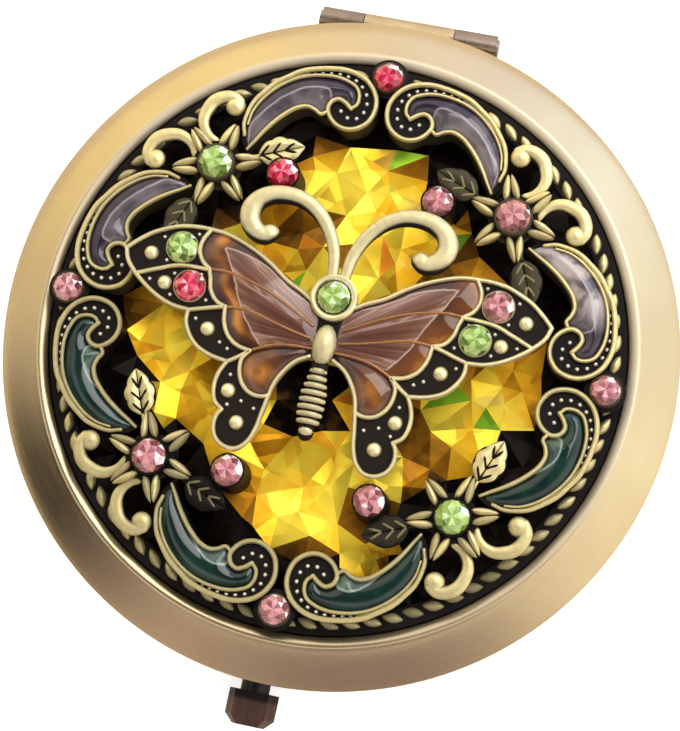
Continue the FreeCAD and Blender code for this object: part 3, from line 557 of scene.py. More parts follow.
SILVER = (0.80, 0.77, 0.68)
# Pale brass of wear and painted highlight, and black painted shade, for the lid's lip
WEAR_AND_HIGHLIGHT_BRASS = (0.68, 0.58, 0.42)
BLACK_SHADE = (0.012, 0.009, 0.007)


def aged_metal(name, light, mid, dark, rough, reach_mm=0.45):
    """Cast metal whose hollows keep a dark patina; tone adds patina and painted shade, and below zero the
    metal is barer, silvery near minus one, as painted light on the rope and petals.
    """
    look = Look(name)
    tone = look.attribute("tone")
    clear = look.plus(look.open_share(reach_mm), look.spread(look.noise(700.0), -0.06, 0.06))
    clear = look.times(look.span(clear, 0.22, 0.55), look.math("SUBTRACT", 1.0, tone), clamp=True)
    fine = look.noise(1400.0, 3.0)
    colour = look.mix(look.spread(fine), light, mid)
    colour = look.mix(look.span(tone, -1.0, -0.3, 1.0, 0.0), colour, SILVER)
    look.set(Base_Color=look.mix(clear, dark, colour), Metallic=look.span(clear, 0.0, 1.0, 0.0, 0.72),
             Specular_IOR_Level=0.1,
             Roughness=look.plus(look.span(clear, 0.0, 1.0, 0.5, rough), look.spread(fine, -0.03, 0.05)))
    look.bump(fine, 0.08, 0.02)
    return look.material


def brushed_metal(name, light, dark, rough):
    """Satin metal brushed in rings about the upright axis, with dark painted shade and pale places that are
    partly wear and partly painted highlight.
    """
    streak = 0.05
    ring_lines, arc_lines = 14000.0, 9.0
    look = Look(name)
    x, y, z = look.node("SeparateXYZ", {0: look.places()}).node.outputs
    radius = look.math("SQRT", look.plus(look.times(x, x), look.times(y, y)))
    around = look.node("CombineXYZ", {0: look.times(radius, ring_lines),
                                      1: look.times(look.math("ARCTAN2", y, x), arc_lines),
                                      2: look.times(z, ring_lines)})
    lines = look.noise(1.0, 3.0, 0.6, around)
    shade_share, wear_and_highlight = look.attribute("tone"), look.attribute("wear_and_highlight")
    colour = look.mix(look.spread(look.noise(60.0, 3.0)), light, dark)
    colour = look.mix(look.span(lines, 0.25, 0.75, 0.0, 0.22), colour, dark)
    colour = look.mix(shade_share, look.mix(wear_and_highlight, colour, WEAR_AND_HIGHLIGHT_BRASS), BLACK_SHADE)
    grain = look.span(lines, 0.2, 0.8, rough - streak, rough + streak)
    look.set(Base_Color=colour, Metallic=look.span(wear_and_highlight, 0.0, 1.0, 1.0, 0.3, "LINEAR"),
             Roughness=look.plus(grain, look.times(look.math("MAXIMUM", shade_share, wear_and_highlight), 0.25)),
             Anisotropic=0.35, Tangent=look.node("Tangent", direction_type="RADIAL", axis="Z"))
    look.bump(lines, 0.1, 0.01)
    return look.material


ANTIQUE = aged_metal("antique_brass", (0.78, 0.675, 0.34), (0.66, 0.555, 0.27), (0.008, 0.006, 0.005), 0.36)
PALE = aged_metal("pale_brass", (0.88, 0.78, 0.45), (0.75, 0.655, 0.363), (0.012, 0.008, 0.006), 0.34)
COPPER = aged_metal("copper_vein", (0.42, 0.20, 0.08), (0.32, 0.15, 0.06), (0.04, 0.015, 0.01), 0.28, 0.3)
SATIN = brushed_metal("satin_brass", (0.63, 0.505, 0.30), (0.56, 0.44, 0.26), 0.25)
INNER_SATIN = brushed_metal("bezel_brass", (0.49, 0.395, 0.245), (0.41, 0.32, 0.20), 0.27)

# Shine of all enamel
GLAZE = {"Specular_IOR_Level": 0.15, "Coat_Weight": 0.8, "Coat_Roughness": 0.03}
# Pale colour of a painted reflection of the light in the enamel
SHEEN_REFLECTION = (0.37, 0.32, 0.30)


def enamel(name, deep, mid, zone, line, line_share):
    """Clear enamel with painted reflections: a sheen fills the zone by its inner edge, a bright line goes
    round it, and the reflection share paints a pale reflection over it.
    """
    look = Look(name)
    cloud = look.noise(350.0, 3.0)
    wander = look.plus(look.attribute("across"), look.spread(cloud, -0.07, 0.07))
    colour = look.mix(look.span(cloud, 0.35, 0.7), deep, mid)
    colour = look.mix(look.span(wander, 0.0, 0.2), colour, look.mix(look.spread(cloud), zone, mid))
    colour = look.mix(look.span(look.off(wander, 0.1), 0.05, 0.16, line_share, 0.0), colour, line)
    drift = look.span(look.noise(320.0, 3.0), 0.42, 0.58, 0.1, 1.0)
    colour = look.mix(look.times(look.attribute("reflection_share"), drift), colour, SHEEN_REFLECTION)
    look.set(Base_Color=colour, Roughness=look.span(cloud, 0.2, 0.8, 0.04, 0.10), **GLAZE)
    look.bump(cloud, 0.08, 0.1)
    return look.material


VIOLET = enamel("violet_enamel", (0.018, 0.011, 0.024), (0.040, 0.028, 0.042), (0.135, 0.115, 0.125),
                (0.42, 0.38, 0.39), 0.45)
GREEN = enamel("green_enamel", (0.002, 0.011, 0.009), (0.006, 0.029, 0.021), (0.095, 0.145, 0.11),
               (0.36, 0.42, 0.38), 0.5)


def wing_enamel():
    """Translucent brown enamel: amber near the cell ends; painted reflections of the light: milky streaks
    that fan out from the body and a bright line round them.
    """
    dark, reflected_thread, sheen_line = (0.040, 0.016, 0.011), (0.40, 0.31, 0.28), (0.46, 0.34, 0.29)
    look = Look("brown_enamel")
    cloud = look.noise(300.0, 4.0)
    reach = look.attribute("ends")
    ends = look.plus(reach, look.spread(cloud, -0.35, 0.35))
    depth = look.plus(look.attribute("across"), look.spread(cloud, -0.12, 0.12))
    fan = look.node("CombineXYZ", {0: look.times(look.attribute("fan"), 8.0), 1: look.times(reach, 0.13)})
    ray = look.noise(1.0, 3.0, 0.55, fan)
    amber = look.ramp(look.span(ends, 0.0, 3.0, way="LINEAR"), (0.0, (0.018, 0.007, 0.005)),
                      (0.18, (0.10, 0.032, 0.010)), (0.36, (0.44, 0.175, 0.030)), (0.6, (0.15, 0.050, 0.016)),
                      (1.0, (0.062, 0.025, 0.017)))
    clear = look.mix(look.span(look.noise(170.0, 2.0), 0.42, 0.58, 0.25, 1.0), dark, amber)
    # Painted reflection of the light: milky streaks fanning from the body, fine bright threads and a bright
    # line round the sheen
    reflection = look.ramp(look.span(depth, 0.0, 5.0, way="LINEAR"), (0.0, (0.26, 0.135, 0.095)),
                     (0.25, (0.165, 0.072, 0.047)), (1.0, (0.115, 0.045, 0.030)))
    reflection = look.mix(look.span(reach, 7.0, 11.0, 0.0, 0.6), reflection, (0.155, 0.11, 0.10))
    reflection = look.mix(look.span(ray, 0.36, 0.6, 0.25, 1.0), dark, reflection)
    reflection = look.mix(look.span(look.off(ray, 0.57), 0.004, 0.02, 0.45, 0.0), reflection, reflected_thread)
    colour = look.mix(look.span(depth, -0.05, 0.12), clear, reflection)
    colour = look.mix(look.span(look.off(depth, 0.06), 0.03, 0.13, 0.65, 0.0), colour, sheen_line)
    look.set(Base_Color=colour, Roughness=0.07, **GLAZE)
    look.bump(cloud, 0.06, 0.1)
    return look.material


def stone_look(name, tint, deep):
    """Cut glass over foil, in painted light and shade: each facet takes its own share of light and dark, the
    brightest white as painted glints.
    """
    look = Look(name)
    shade = look.plus(look.attribute("facet"), look.spread(look.noise(1500.0, 2.0), -0.1, 0.1))
    bright = tuple(min(1.0, 0.10 + 1.35 * c) for c in tint)
    colour = look.ramp(shade, (0.1, deep), (0.45, tint), (0.78, bright), (0.98, (0.92, 0.92, 0.90)))
    look.set(Base_Color=colour, Roughness=0.06, Metallic=0.1, Coat_Weight=1.0, Coat_Roughness=0.02)
    return look.material


def foil_look():
    """Crinkled metal foil; each crease plane has its own slope and tint, broken into smaller cells."""
    look = Look("gold_foil")
    cell = look.node("TexVoronoi", {"Vector": look.places(), "Scale": 430.0}, out="Color")
    soft = look.span(look.attribute("soft"), -1.0, 1.0, 0.87, 1.1, "LINEAR")
    facet = look.times(look.attribute("facet"), soft)
    facet = look.times(facet, look.span(cell, 0.2, 0.8, 0.86, 1.14, "LINEAR"))
    # Painted shade where the ornament over the foil closes in the space above it
    tone = look.plus(look.times(facet, look.span(look.open_share(5.0), 0.24, 0.54, 0.12, 1.0)),
                     look.spread(look.noise(500.0, 3.0), -0.05, 0.05))
    colour = look.ramp(tone, (0.06, (0.006, 0.004, 0.003)), (0.25, (0.16, 0.065, 0.006)),
                       (0.5, (0.52, 0.215, 0.008)), (0.75, (0.92, 0.50, 0.018)), (1.0, (1.0, 0.75, 0.06)))
    glint, bright = look.attribute("glint"), look.span(tone, 0.1, 0.3)
    # Painted green and orange glints on a few facets that are not in shade
    for low, high, flash in ((0.955, 0.965, (0.20, 0.42, 0.02)), (0.98, 0.985, (0.85, 0.28, 0.02))):
        colour = look.mix(look.times(look.span(glint, low, high), bright), colour, flash)
    crease = look.vector("SUBTRACT", cell, (0.5, 0.5, 0.5))
    slope = look.vector("MULTIPLY_ADD", crease, (0.24, 0.24, 0.0), look.attribute("slope", "Vector"))
    slope = look.node("VectorTransform", {0: slope}, vector_type="VECTOR", convert_from="OBJECT",
                      convert_to="WORLD")
    plane = look.vector("ADD", look.node("NewGeometry", out="Normal"), slope)
    look.set(Base_Color=colour, Metallic=0.45, Roughness=0.32, Specular_IOR_Level=0.05,
             Coat_Weight=look.span(tone, 0.1, 0.5, 0.0, 0.25), Coat_Roughness=0.08,
             Normal=look.vector("NORMALIZE", plane))
    return look.material


def plain_metal(name, light, dark, rough, metallic=1.0):
    look = Look(name)
    fine = look.noise(4000.0, 2.0)
    look.set(Base_Color=look.mix(look.spread(look.noise(250.0, 4.0)), light, dark), Metallic=metallic,
             Roughness=look.spread(fine, rough - 0.05, rough + 0.08))
    look.bump(fine, 0.2, 0.015)
    return look.material


def mirror_look():
    look = Look("mirror_glass")
    haze = look.noise(45.0, 3.0)
    colour = look.mix(look.spread(haze), (0.60, 0.63, 0.64), (0.55, 0.585, 0.60))
    look.set(Base_Color=colour, Metallic=1.0, Roughness=look.span(haze, 0.55, 0.8, 0.01, 0.05))
    return look.material


def button_look():
    """Dark bronze with reddish streaks from back to front, and black painted shade along the back of the cap.
    """
    cap_back, back_shade = (-37.1 * MM, -36.6 * MM), (0.006, 0.004, 0.004)
    look = Look("dark_bronze")
    place = look.places()
    streaks = look.noise(1.0, 3.0, 0.6, look.vector("MULTIPLY", place, (1400.0, 160.0, 700.0)))
    fine = look.noise(3000.0, 2.0)
    colour = look.ramp(streaks, (0.3, (0.040, 0.021, 0.017)), (0.5, (0.070, 0.034, 0.026)),
                       (0.68, (0.125, 0.042, 0.032)))
    y = look.node("SeparateXYZ", {0: place}, out=1)
    look.set(Base_Color=look.mix(look.span(y, *cap_back), colour, back_shade), Metallic=0.4,
             Roughness=look.spread(fine, 0.28, 0.4))
    look.bump(fine, 0.2, 0.015)
    return look.material


BROWN = wing_enamel()
STONES = {slot: stone_look(slot, tint, deep) for slot, tint, deep in (
    ("peridot_stone", (0.28, 0.42, 0.10), (0.055, 0.12, 0.016)),
    ("ruby_stone", (0.52, 0.018, 0.06), (0.16, 0.004, 0.016)),
    ("rose_stone", (0.42, 0.155, 0.172), (0.11, 0.026, 0.034)))}
FOIL = foil_look()
HINGE = plain_metal("hinge_bronze", (0.33, 0.26, 0.195), (0.245, 0.185, 0.145), 0.32)
HINGE_GOLD = plain_metal("hinge_gold", (0.61, 0.485, 0.275), (0.495, 0.38, 0.215), 0.30)
DARK = button_look()
STEEL = plain_metal("spring_steel", (0.36, 0.35, 0.35), (0.28, 0.28, 0.28), 0.34)
PAD = plain_metal("mirror_pad", (0.24, 0.22, 0.20), (0.17, 0.16, 0.15), 0.85, 0.0)
MIRROR = mirror_look()


# Lid dish, turned from its outline
def arc(start, middle, end, count):
    """Points on the circle arc through three (radius, level) points, without the last."""
    a, b, c = (complex(*place) for place in (start, middle, end))
    share = (c - a) / (b - a)
    centre = a + (b - a) * (share - abs(share) ** 2) / (2j * share.imag)
    turned = cmath.phase((c - centre) / (a - centre))
    places = [centre + (a - centre) * cmath.rect(1, turned * i / count) for i in range(count)]
    return [(place.real, place.imag) for place in places]


# Section of the dish as (radius, level): under the lid, round its edge, over the lip and into the recess
UNDERSIDE = [(AXIS_GAP, LID_UNDER), (31.5, LID_UNDER), (33.7, 8.0), (33.7, 6.75), (33.75, LID_BOTTOM)]
EDGE_ARC = ((34.9, LID_BOTTOM), (35.0, 6.9), (35.0, 7.3))
BAND_ARC = (EDGE_ARC[-1], (33.1, 8.72), (31.0, 9.8))
CREST_ARC = (BAND_ARC[-1], (30.72, 9.92), (30.4, 9.91))
LIP_ARC = (CREST_ARC[-1], (30.05, 9.78), (29.72, 9.55))
RECESS = [LIP_ARC[-1], (29.65, 9.4), (29.65, RECESS_FLOOR), (AXIS_GAP, RECESS_FLOOR)]
# Shares of painted shade, darkening the lip into the recess, and of wear and painted highlight, by radius
# across the lip
LIP_SHADE = ((29.65, 29.8, 30.1, 30.4, 30.7), (1.0, 0.65, 0.22, 0.05, 0.0))
LIP_WEAR_AND_HIGHLIGHT = ((29.6, 29.8, 30.4, 31.0), (0.0, 1.0, 1.0, 0.0))
# Share of that wear and highlight round the lip, by degrees about the upright axis; as painted highlight it
# is full at the right and back, where the light falls, and none at the front left
LIP_HIGHLIGHT_ROUND = ((-180, -150, -110, -70, -30, 0, 90, 130, 180),
                  (0.4, 0.0, 0.0, 0.2, 0.6, 1.0, 1.0, 0.8, 0.4))


def lid_dish():
    form = Sculpt()
    outer = UNDERSIDE + arc(*EDGE_ARC, 4) + arc(*BAND_ARC, 20)
    inner = arc(*CREST_ARC, 6) + arc(*LIP_ARC, 8) + RECESS
    tones = [0.0] * len(outer) + list(np.interp([r for r, _ in inner], *LIP_SHADE))
    form.lathe(outer + inner, sides=220, tone=tones)
    piece = form.make("lid_dish", "lid", "satin_brass", SATIN, ["lid_shell"], 25)
    wear_and_highlight = []
    for vertex in piece.data.vertices:
        x, y, z = vertex.co / MM
        turned = degrees(atan2(y, x))
        share = np.interp(hypot(x, y), *LIP_WEAR_AND_HIGHLIGHT) * np.interp(turned, *LIP_HIGHLIGHT_ROUND)
        wear_and_highlight.append(share if z > RECESS_FLOOR + 0.01 else 0.0)
    attach(piece.data, "wear_and_highlight", wear_and_highlight)


lid_dish()


# Foil, creased into flat planes; it is painted lit in the middle and painted in shade under the border
FOIL_EDGE = 29.5
CREASE_SEED = 11
TINT_SEED = 52960
# Gaps between its creases, and how deep the creases go
FOIL_GAPS = (1.3, 2.0, 2.8, 3.6, 4.4)
FOIL_CREASE = 0.26
# How far from the middle it is painted lit, across and on the diagonals
FOIL_REACH = 22.0
FOIL_DIAGONAL_REACH = 17.6
# Painted light: lit tongues of foil that reach further out, each a place and a radius
FOIL_TONGUES = (((7.0, -19.5), 3.6), ((-15.5, -8.5), 3.4))
# Patches of one tint, how far they lie from the middle, and the share of facets that have their own
FOIL_PATCHES = 90
PATCH_REACH = 23
ODD_FACETS = 0.08
FOIL_TINTS = (1.0, 1.0, 1.0, 1.0, 0.95, 0.9, 0.8, 0.68, 0.5, 0.28)
# Painted shade on the foil beside the abdomen: middle and half width in X, front and back in Y, and its share
# of light
BODY_SHADE = (BUTTERFLY_X - 0.6, 3.2, -9.0, -1.5)
BODY_SHADE_LIGHT = 0.08


def crease_points(rng, tries=5000, half=29, reach=28.6):
    """Places scattered over the foil, each with a gap of its own to the others."""
    inner, gaps = [], []
    for _ in range(tries):
        place = (rng.uniform(-half, half), rng.uniform(-half, half))
        gap = rng.choice(FOIL_GAPS)
        if hypot(*place) < reach and all(
                dist(place, p) > (gap + g) / 2 for p, g in zip(inner, gaps)):
            inner.append(place)
            gaps.append(gap)
    return inner


def foil_light(x, y, waver):
    """Share of painted light on the foil at a place, with painted shade under the border and beside the
    abdomen.
    """
    diagonal = abs(sin(2 * atan2(y, x))) ** 1.5
    reach = FOIL_REACH + (FOIL_DIAGONAL_REACH - FOIL_REACH) * diagonal
    lit = min(1.0, max(0.0, reach - hypot(x, y) + waver))
    if any(dist((x, y), place) < radius for place, radius in FOIL_TONGUES):
        lit = 1.0
    middle, half, front, back = BODY_SHADE
    if front < y < back and abs(x - middle) < half:
        lit *= BODY_SHADE_LIGHT
    return lit


def foil():
    rng = random.Random(CREASE_SEED)
    flat, faces = tiled(circle(0, 0, FOIL_EDGE, 60), crease_points(rng))
    levels = [FOIL_TOP - 0.02 - (rng.random() ** 1.5) * FOIL_CREASE for _ in flat]
    piece = mesh_piece("crinkled_foil", raised(flat, levels) * MM, faces, FOIL, "lid",
                       ["foil_panel"])
    tints = random.Random(TINT_SEED)
    patches = [(tints.uniform(-PATCH_REACH, PATCH_REACH), tints.uniform(-PATCH_REACH, PATCH_REACH),
                tints.choice(FOIL_TINTS)) for _ in range(FOIL_PATCHES)]
    shade, glint, slope = [], [], []
    for polygon in piece.data.polygons:
        x, y, _ = polygon.center / MM
        lit = foil_light(x, y, rng.uniform(-0.8, 0.8))
        nearest = min(patches, key=lambda p: hypot(p[0] - x, p[1] - y))
        tint = nearest[2] + rng.uniform(-0.08, 0.05)
        if rng.random() < ODD_FACETS:
            tint = rng.uniform(0.25, 1.0)
        shade.append(tint * lit)
        glint.append(rng.random())
        lean, way = 0.25 + 0.2 * rng.random(), rng.uniform(0, 2 * pi)
        slope += [lean * cos(way), lean * sin(way), 0.0]
    attach(piece.data, "soft", [rng.uniform(-1.0, 1.0) for _ in piece.data.vertices])
    attach(piece.data, "facet", shade, "FACE")
    attach(piece.data, "glint", glint, "FACE")
    piece.data.attributes.new("slope", "FLOAT_VECTOR", "FACE").data.foreach_set("vector", slope)


foil()


# Rope border in the channel between the ornament and the lip
ROPE_SEED = 5
ROPE_BEADS = 84
ROPE_INNER = 27.95
ROPE_OUTER = 28.85
ROPE_LEVEL = 9.5
# Section of the strip under it, as (radius, level)
ROPE_STRIP = [(27.6, FOIL_TOP), (27.6, 9.45), (28.6, ROPE_LEVEL), (29.55, ROPE_LEVEL), (29.55, FOIL_TOP)]
# Degrees round the lid from the inner to the outer end of a bead
ROPE_TWIST = 4.2
# Painted light and shade round the rope, by degrees about the upright axis: lighter at the right and back
# right, darker elsewhere
ROPE_LIGHT_AND_SHADE = ((0, 45, 90, 135, 180, 220, 260, 315, 360), (-0.1, -0.25, 0.35, 0.4, 0.3, 0.2, 0.5, 0.6, -0.1))


def rope():
    form = Sculpt()
    form.lathe(ROPE_STRIP, sides=160)
    rng = random.Random(ROPE_SEED)
    starts = circle(0, 0, ROPE_INNER, ROPE_BEADS)
    ends = circle(0, 0, ROPE_OUTER, ROPE_BEADS, ROPE_TWIST)
    for k, (start, end) in enumerate(zip(starts, ends)):
        tone = np.interp(360 * k / ROPE_BEADS, *ROPE_LIGHT_AND_SHADE) + rng.uniform(-0.15, 0.15)
        form.pillow(start, end, half_width=0.52, z=ROPE_LEVEL, rise=0.6, depth=0.2, tone=tone)
    form.make("rope_ring", "lid", "antique_brass", ANTIQUE, ["rope_border"])


rope()


# Scroll, curl, leaf and flower of one eighth, then the whole border casting
def stone_cup(form, size, x, y, bottom, wall, dark):
    """The cup of a set stone, at least as dark as asked."""
    radius, girdle, _ = size
    rim = girdle - 0.02
    profile = [(radius + wall + 0.1, bottom), (radius + wall, rim - 0.35), (radius + wall, rim - 0.1),
               (radius + wall * 0.6, rim), (radius - 0.05, rim - 0.02), (radius - 0.12, rim - 0.4),
               (AXIS_GAP, rim - 0.5)]
    form.lathe(profile, x, y, 32, np.maximum((0.6, 0.5, 0.3, 0.1, 0.4, 1.0, 1.0), dark))


def scroll(form):
    form.plate(outline(SCROLL_EDGE), FOIL_TOP, SCROLL_FLOOR, side_tone=0.95)
    for line, radii in ((SCROLL_WIRE, (0.2, 0.26, 0.28, 0.27, 0.26, 0.25, 0.24)),
                        (SCROLL_HOOK, (0.2, 0.2, 0.18, 0.14)), (SCROLL_INNER, (0.2, 0.25, 0.25, 0.16))):
        form.tube(smooth_line(line), radii, SCROLL_TOP - 0.2, rise=1.4, under=0.5, front=0.4)
    form.tube(smooth_line(SCROLL_BAND), (0.1, 0.22, 0.24, 0.22, 0.1), SCROLL_TOP - 0.32, tone=0.2)
    for x, y in TRACK_BEADS:
        form.bead(x, y, SCROLL_FLOOR + 0.05, radius=0.22, rise=1.1, tone=-1.0)


# Places on the edge of a leaf: how far along the blade, and how far out
LEAF_EDGE = ((0.2, 1.3), (0.55, 1.6))
# Side veins of a leaf: where each starts along the blade, and how far out it ends
LEAF_VEINS = ((0.08, 1.1), (0.34, 1.15), (0.6, 0.6))
# How far along the blade a vein goes
VEIN_RUN = 0.26
LEAF_BOTTOM = 12.0
LEAF_FLOOR = 12.45


def leaf(form, tone, vein_tone):
    """A broad blade of two vanes with side veins."""
    stem, root, tip = np.array(LEAF_STEM), np.array(LEAF_ROOT), np.array(LEAF_TIP)
    run = tip - root
    side = beside(run)
    form.tube(smooth_line([stem, (stem + root) / 2, root]), (0.2, 0.18, 0.14), LEAF_FLOOR + 0.1, tone=tone)
    halves = [[tuple(root + run * t + side * out * way) for t, out in LEAF_EDGE] for way in (1, -1)]
    edge = outline([[tuple(root)] + halves[0], [tuple(tip)] + halves[1][::-1]])
    form.plate(edge, LEAF_BOTTOM, LEAF_FLOOR, side_tone=1.0)
    levels = (LEAF_FLOOR + 0.15, LEAF_FLOOR + 0.41, LEAF_FLOOR + 0.15)
    for way in (1, -1):
        start, end = root + side * (0.1 * way), tip + side * (0.03 * way)
        form.vane(start, end, width=1.5 * way, z=LEAF_FLOOR + 0.03, rise=0.4, tone=tone)
        for t, reach in LEAF_VEINS:
            inner = root + run * t + side * (0.1 * way)
            outer = root + run * (t + VEIN_RUN) + side * (reach * way)
            line = [inner, (inner + outer) / 2, outer]
            form.tube(line, (0.14, 0.13, 0.08), levels, sides=8, tone=vein_tone)


FLOWER_BOTTOM = 11.6
FLOWER_FLOOR = 12.7
FLOWER_DISC = 2.5
# Ends of half a petal: how far out from the middle of the flower, and how far to its side
PETAL_ROOT = (1.75, 0.62)
PETAL_TIP = (4.6, 0.15)
# Posts under the flowers and the border stones
POST_RADIUS = 1.4


def flower(form):
    x, y = FLOWER_AT
    form.plate(circle(x, y, FLOWER_DISC), FLOWER_BOTTOM, FLOWER_FLOOR, side_tone=0.9)
    form.post(x, y, POST_RADIUS, FLOWER_BOTTOM + 0.1)
    for ahead in circle(0, 0, 1, PETALS, 45):
        side = beside(ahead)
        # One half of each petal is painted lit, the other painted in shade
        for way, tone in ((1, -0.1), (-1, 0.28)):
            root, tip = (FLOWER_AT + ahead * out + side * (aside * way)
                         for out, aside in (PETAL_ROOT, PETAL_TIP))
            form.pillow(root, tip, half_width=0.40, z=FLOWER_FLOOR + 0.2, rise=0.6, depth=0.5, tone=tone,
                        blunt=0.7, lead=0.85)
    stone_cup(form, FLOWER_STONE, x, y, FLOWER_FLOOR - 0.1, wall=0.2, dark=0.92)


# Painted shade that each corner adds to the tone of its forms, in the order of the corners; the front corners
# are darker
CORNER_SHADE = (0.0, 0.0, 0.3, 0.15)
BORDER_CUP_BOTTOM = 11.6


def border_casting():
    eighth, bright, dim, quarter, border, form = (Sculpt() for _ in range(6))
    scroll(eighth)
    eighth.tube(smooth_line(CURL), CURL_RADII, CURL_LEVEL, rise=0.65, sides=18, under=0.9, front=1.2,
                blunt=0.8)
    eighth.bead(*CURL_BALL, SCROLL_FLOOR, radius=1.05, rise=0.55)
    leaf(bright, tone=0.05, vein_tone=1.0)
    leaf(dim, tone=0.94, vein_tone=0.72)
    flower(quarter)
    bottom = BORDER_CUP_BOTTOM
    stone_cup(border, BORDER_STONE, *BORDER_AT, bottom, wall=0.16, dark=0.95)
    border.post(*BORDER_AT, POST_RADIUS, bottom)
    border.lathe([(2.1, bottom), (2.1, bottom + 0.2), (1.7, bottom + 0.3)], *BORDER_AT, sides=32)
    for x, y in ACCENTS.values():
        stone_cup(form, ACCENT_STONE, x, y, FOIL_TOP, wall=0.16, dark=1.0)
    for number, way in enumerate(EIGHTHS):
        more = CORNER_SHADE[number // 2]
        form.place(eighth, [way], more)
        form.place(dim if number in DIM_LEAVES else bright, [way], more / 4)
    for way, more in zip(QUARTERS, CORNER_SHADE):
        form.place(quarter, [way], more)
    form.place(border, QUARTERS)
    form.make("border_casting", "lid", "antique_brass", ANTIQUE, ["border_filigree"])


border_casting()


# Enamel fills
DOME_SPACING = 0.3


def dome(name, runs, low, rise, material, measures, way, x=0.0):
    """A swollen fill over an outline, turned or flipped and then moved along X.

    Each measure gives every flat point a value for the colours.
    """
    edge = outline(runs)
    flat, faces = tiled(edge, inner_grid(edge, DOME_SPACING))
    depth = away(flat, closed(edge))
    lift = 1 - (1 - np.clip(depth / depth.max(), 0, 1)) ** 2
    verts = raised(flat @ way.T + (x, 0), low + rise * lift) * MM
    piece = mesh_piece(name, verts, faces, material, "lid", ["enamel_" + name], 60)
    for key, measure in measures.items():
        attach(piece.data, key, measure(flat))


def depth_behind(line, rest):
    """Distance to a line, above zero on the side that the rest of the zone's outline closes."""
    zone = np.vstack([line, rest])
    return lambda flat: away(flat, line) * np.where(inside(flat, zone), 1, -1)


# Scroll fills that catch a painted reflection of the light, with its share
REFLECTING_FILLS = {("back_right", 2): 1.0, ("back_right", 1): 0.15}
# Where along X that painted reflection starts, and how far on it is full
REFLECTION_START = 5.5
REFLECTION_RUN = 3.0


def reflection_along(lit):
    """The share of painted reflection on each flat point of a scroll fill."""
    return lambda flat: lit * np.clip((flat[:, 0] - REFLECTION_START) / REFLECTION_RUN, 0, 1)


def scroll_enamels():
    for corner, quarter in zip(CORNERS, QUARTERS):
        colour, paint, sheen = (("violet", VIOLET, VIOLET_SHEEN) if corner.startswith("back") else
                                ("green", GREEN, GREEN_SHEEN))
        for number, way in ((1, quarter), (2, quarter @ DIAGONAL)):
            measures = {"across": depth_behind(smooth_line(sheen), smooth_line(SCROLL_INNER)[::-1]),
                        "reflection_share": reflection_along(REFLECTING_FILLS.get((corner, number), 0.0))}
            dome("_".join((colour, corner, str(number))), SCROLL_ENAMEL, low=SCROLL_FLOOR + 0.1, rise=0.5,
                 material=paint, measures=measures, way=way)


# Place that the painted reflection streaks of the wings fan out from
FAN_ROOT = (-1.0, -1.0)


def wing_enamels():
    def fan(flat):
        x, y = (flat - FAN_ROOT).T
        return np.arctan2(y, x)

    def to_ends(flat):
        return away(flat, smooth_line(FORE_ENDS))

    across = depth_behind(np.array(WING_SHEEN), np.array(WING_ROOT))
    plain = {"across": across, "ends": to_ends, "fan": fan}
    ruddy = {"across": across, "ends": lambda flat: 1.4 + 0.6 * to_ends(flat), "fan": fan}
    hind = {"across": lambda flat: np.full(len(flat), -1.0),
            "ends": lambda flat: 1.0 + 0.6 * np.hypot(*(flat - HIND_GLOW).T), "fan": fan}
    for side, way, fore in (("right", SAME, ruddy), ("left", FLIP, plain)):
        for cell, runs, measures in (("forewing_", FORE_CELL, fore), ("hindwing_", HIND_CELL, hind)):
            dome(cell + side, runs, low=WING_FLOOR + 0.02, rise=0.42, material=BROWN,
                 measures=measures, way=way, x=BUTTERFLY_X)


scroll_enamels()
wing_enamels()


# Butterfly
BODY_LEVEL = 14.3
HEAD_PROFILE = [(2.3, WING_BOTTOM), (2.38, 14.7), (2.35, 15.05), (2.15, 15.22), (1.9, 15.2), (1.75, 15.05),
                (1.6, 14.7), (AXIS_GAP, 14.6)]
HEAD_TONES = (0.4, 0.1, 0, 0, 0, 0.3, 1, 1)
WING_FEET = ((12.0, 5.0), (6.5, -5.0))
WING_FOOT_RADIUS = 1.0


def abdomen(form):
    """Bars across a dark body, and a cap at its end."""
    bars, first, step = 8, -3.95, -0.73
    radii, levels = (0.24, 0.28, 0.29, 0.28, 0.24), (14.5, 14.9, 15.02, 14.9, 14.5)
    for i in range(bars):
        y = first + step * i
        half = np.interp(-y, (3.9, 5.0, 6.0, 8.0, 9.0), (0.85, 1.05, 1.3, 1.35, 1.15))
        line = [(x, y) for x in (-half + 0.2, -half / 2, 0.0, half / 2, half - 0.2)]
        form.tube(line, radii, levels, tone=0.42)
    form.tube([(0, -3.4), (0, -10.2)], (0.9, 1.2, 1.2, 0.8), BODY_LEVEL, rise=0.7, sides=14, tone=1.0)
    form.bead(0, -10.0, BODY_LEVEL, radius=0.8, rise=0.75, tone=0.35, long=1.1)


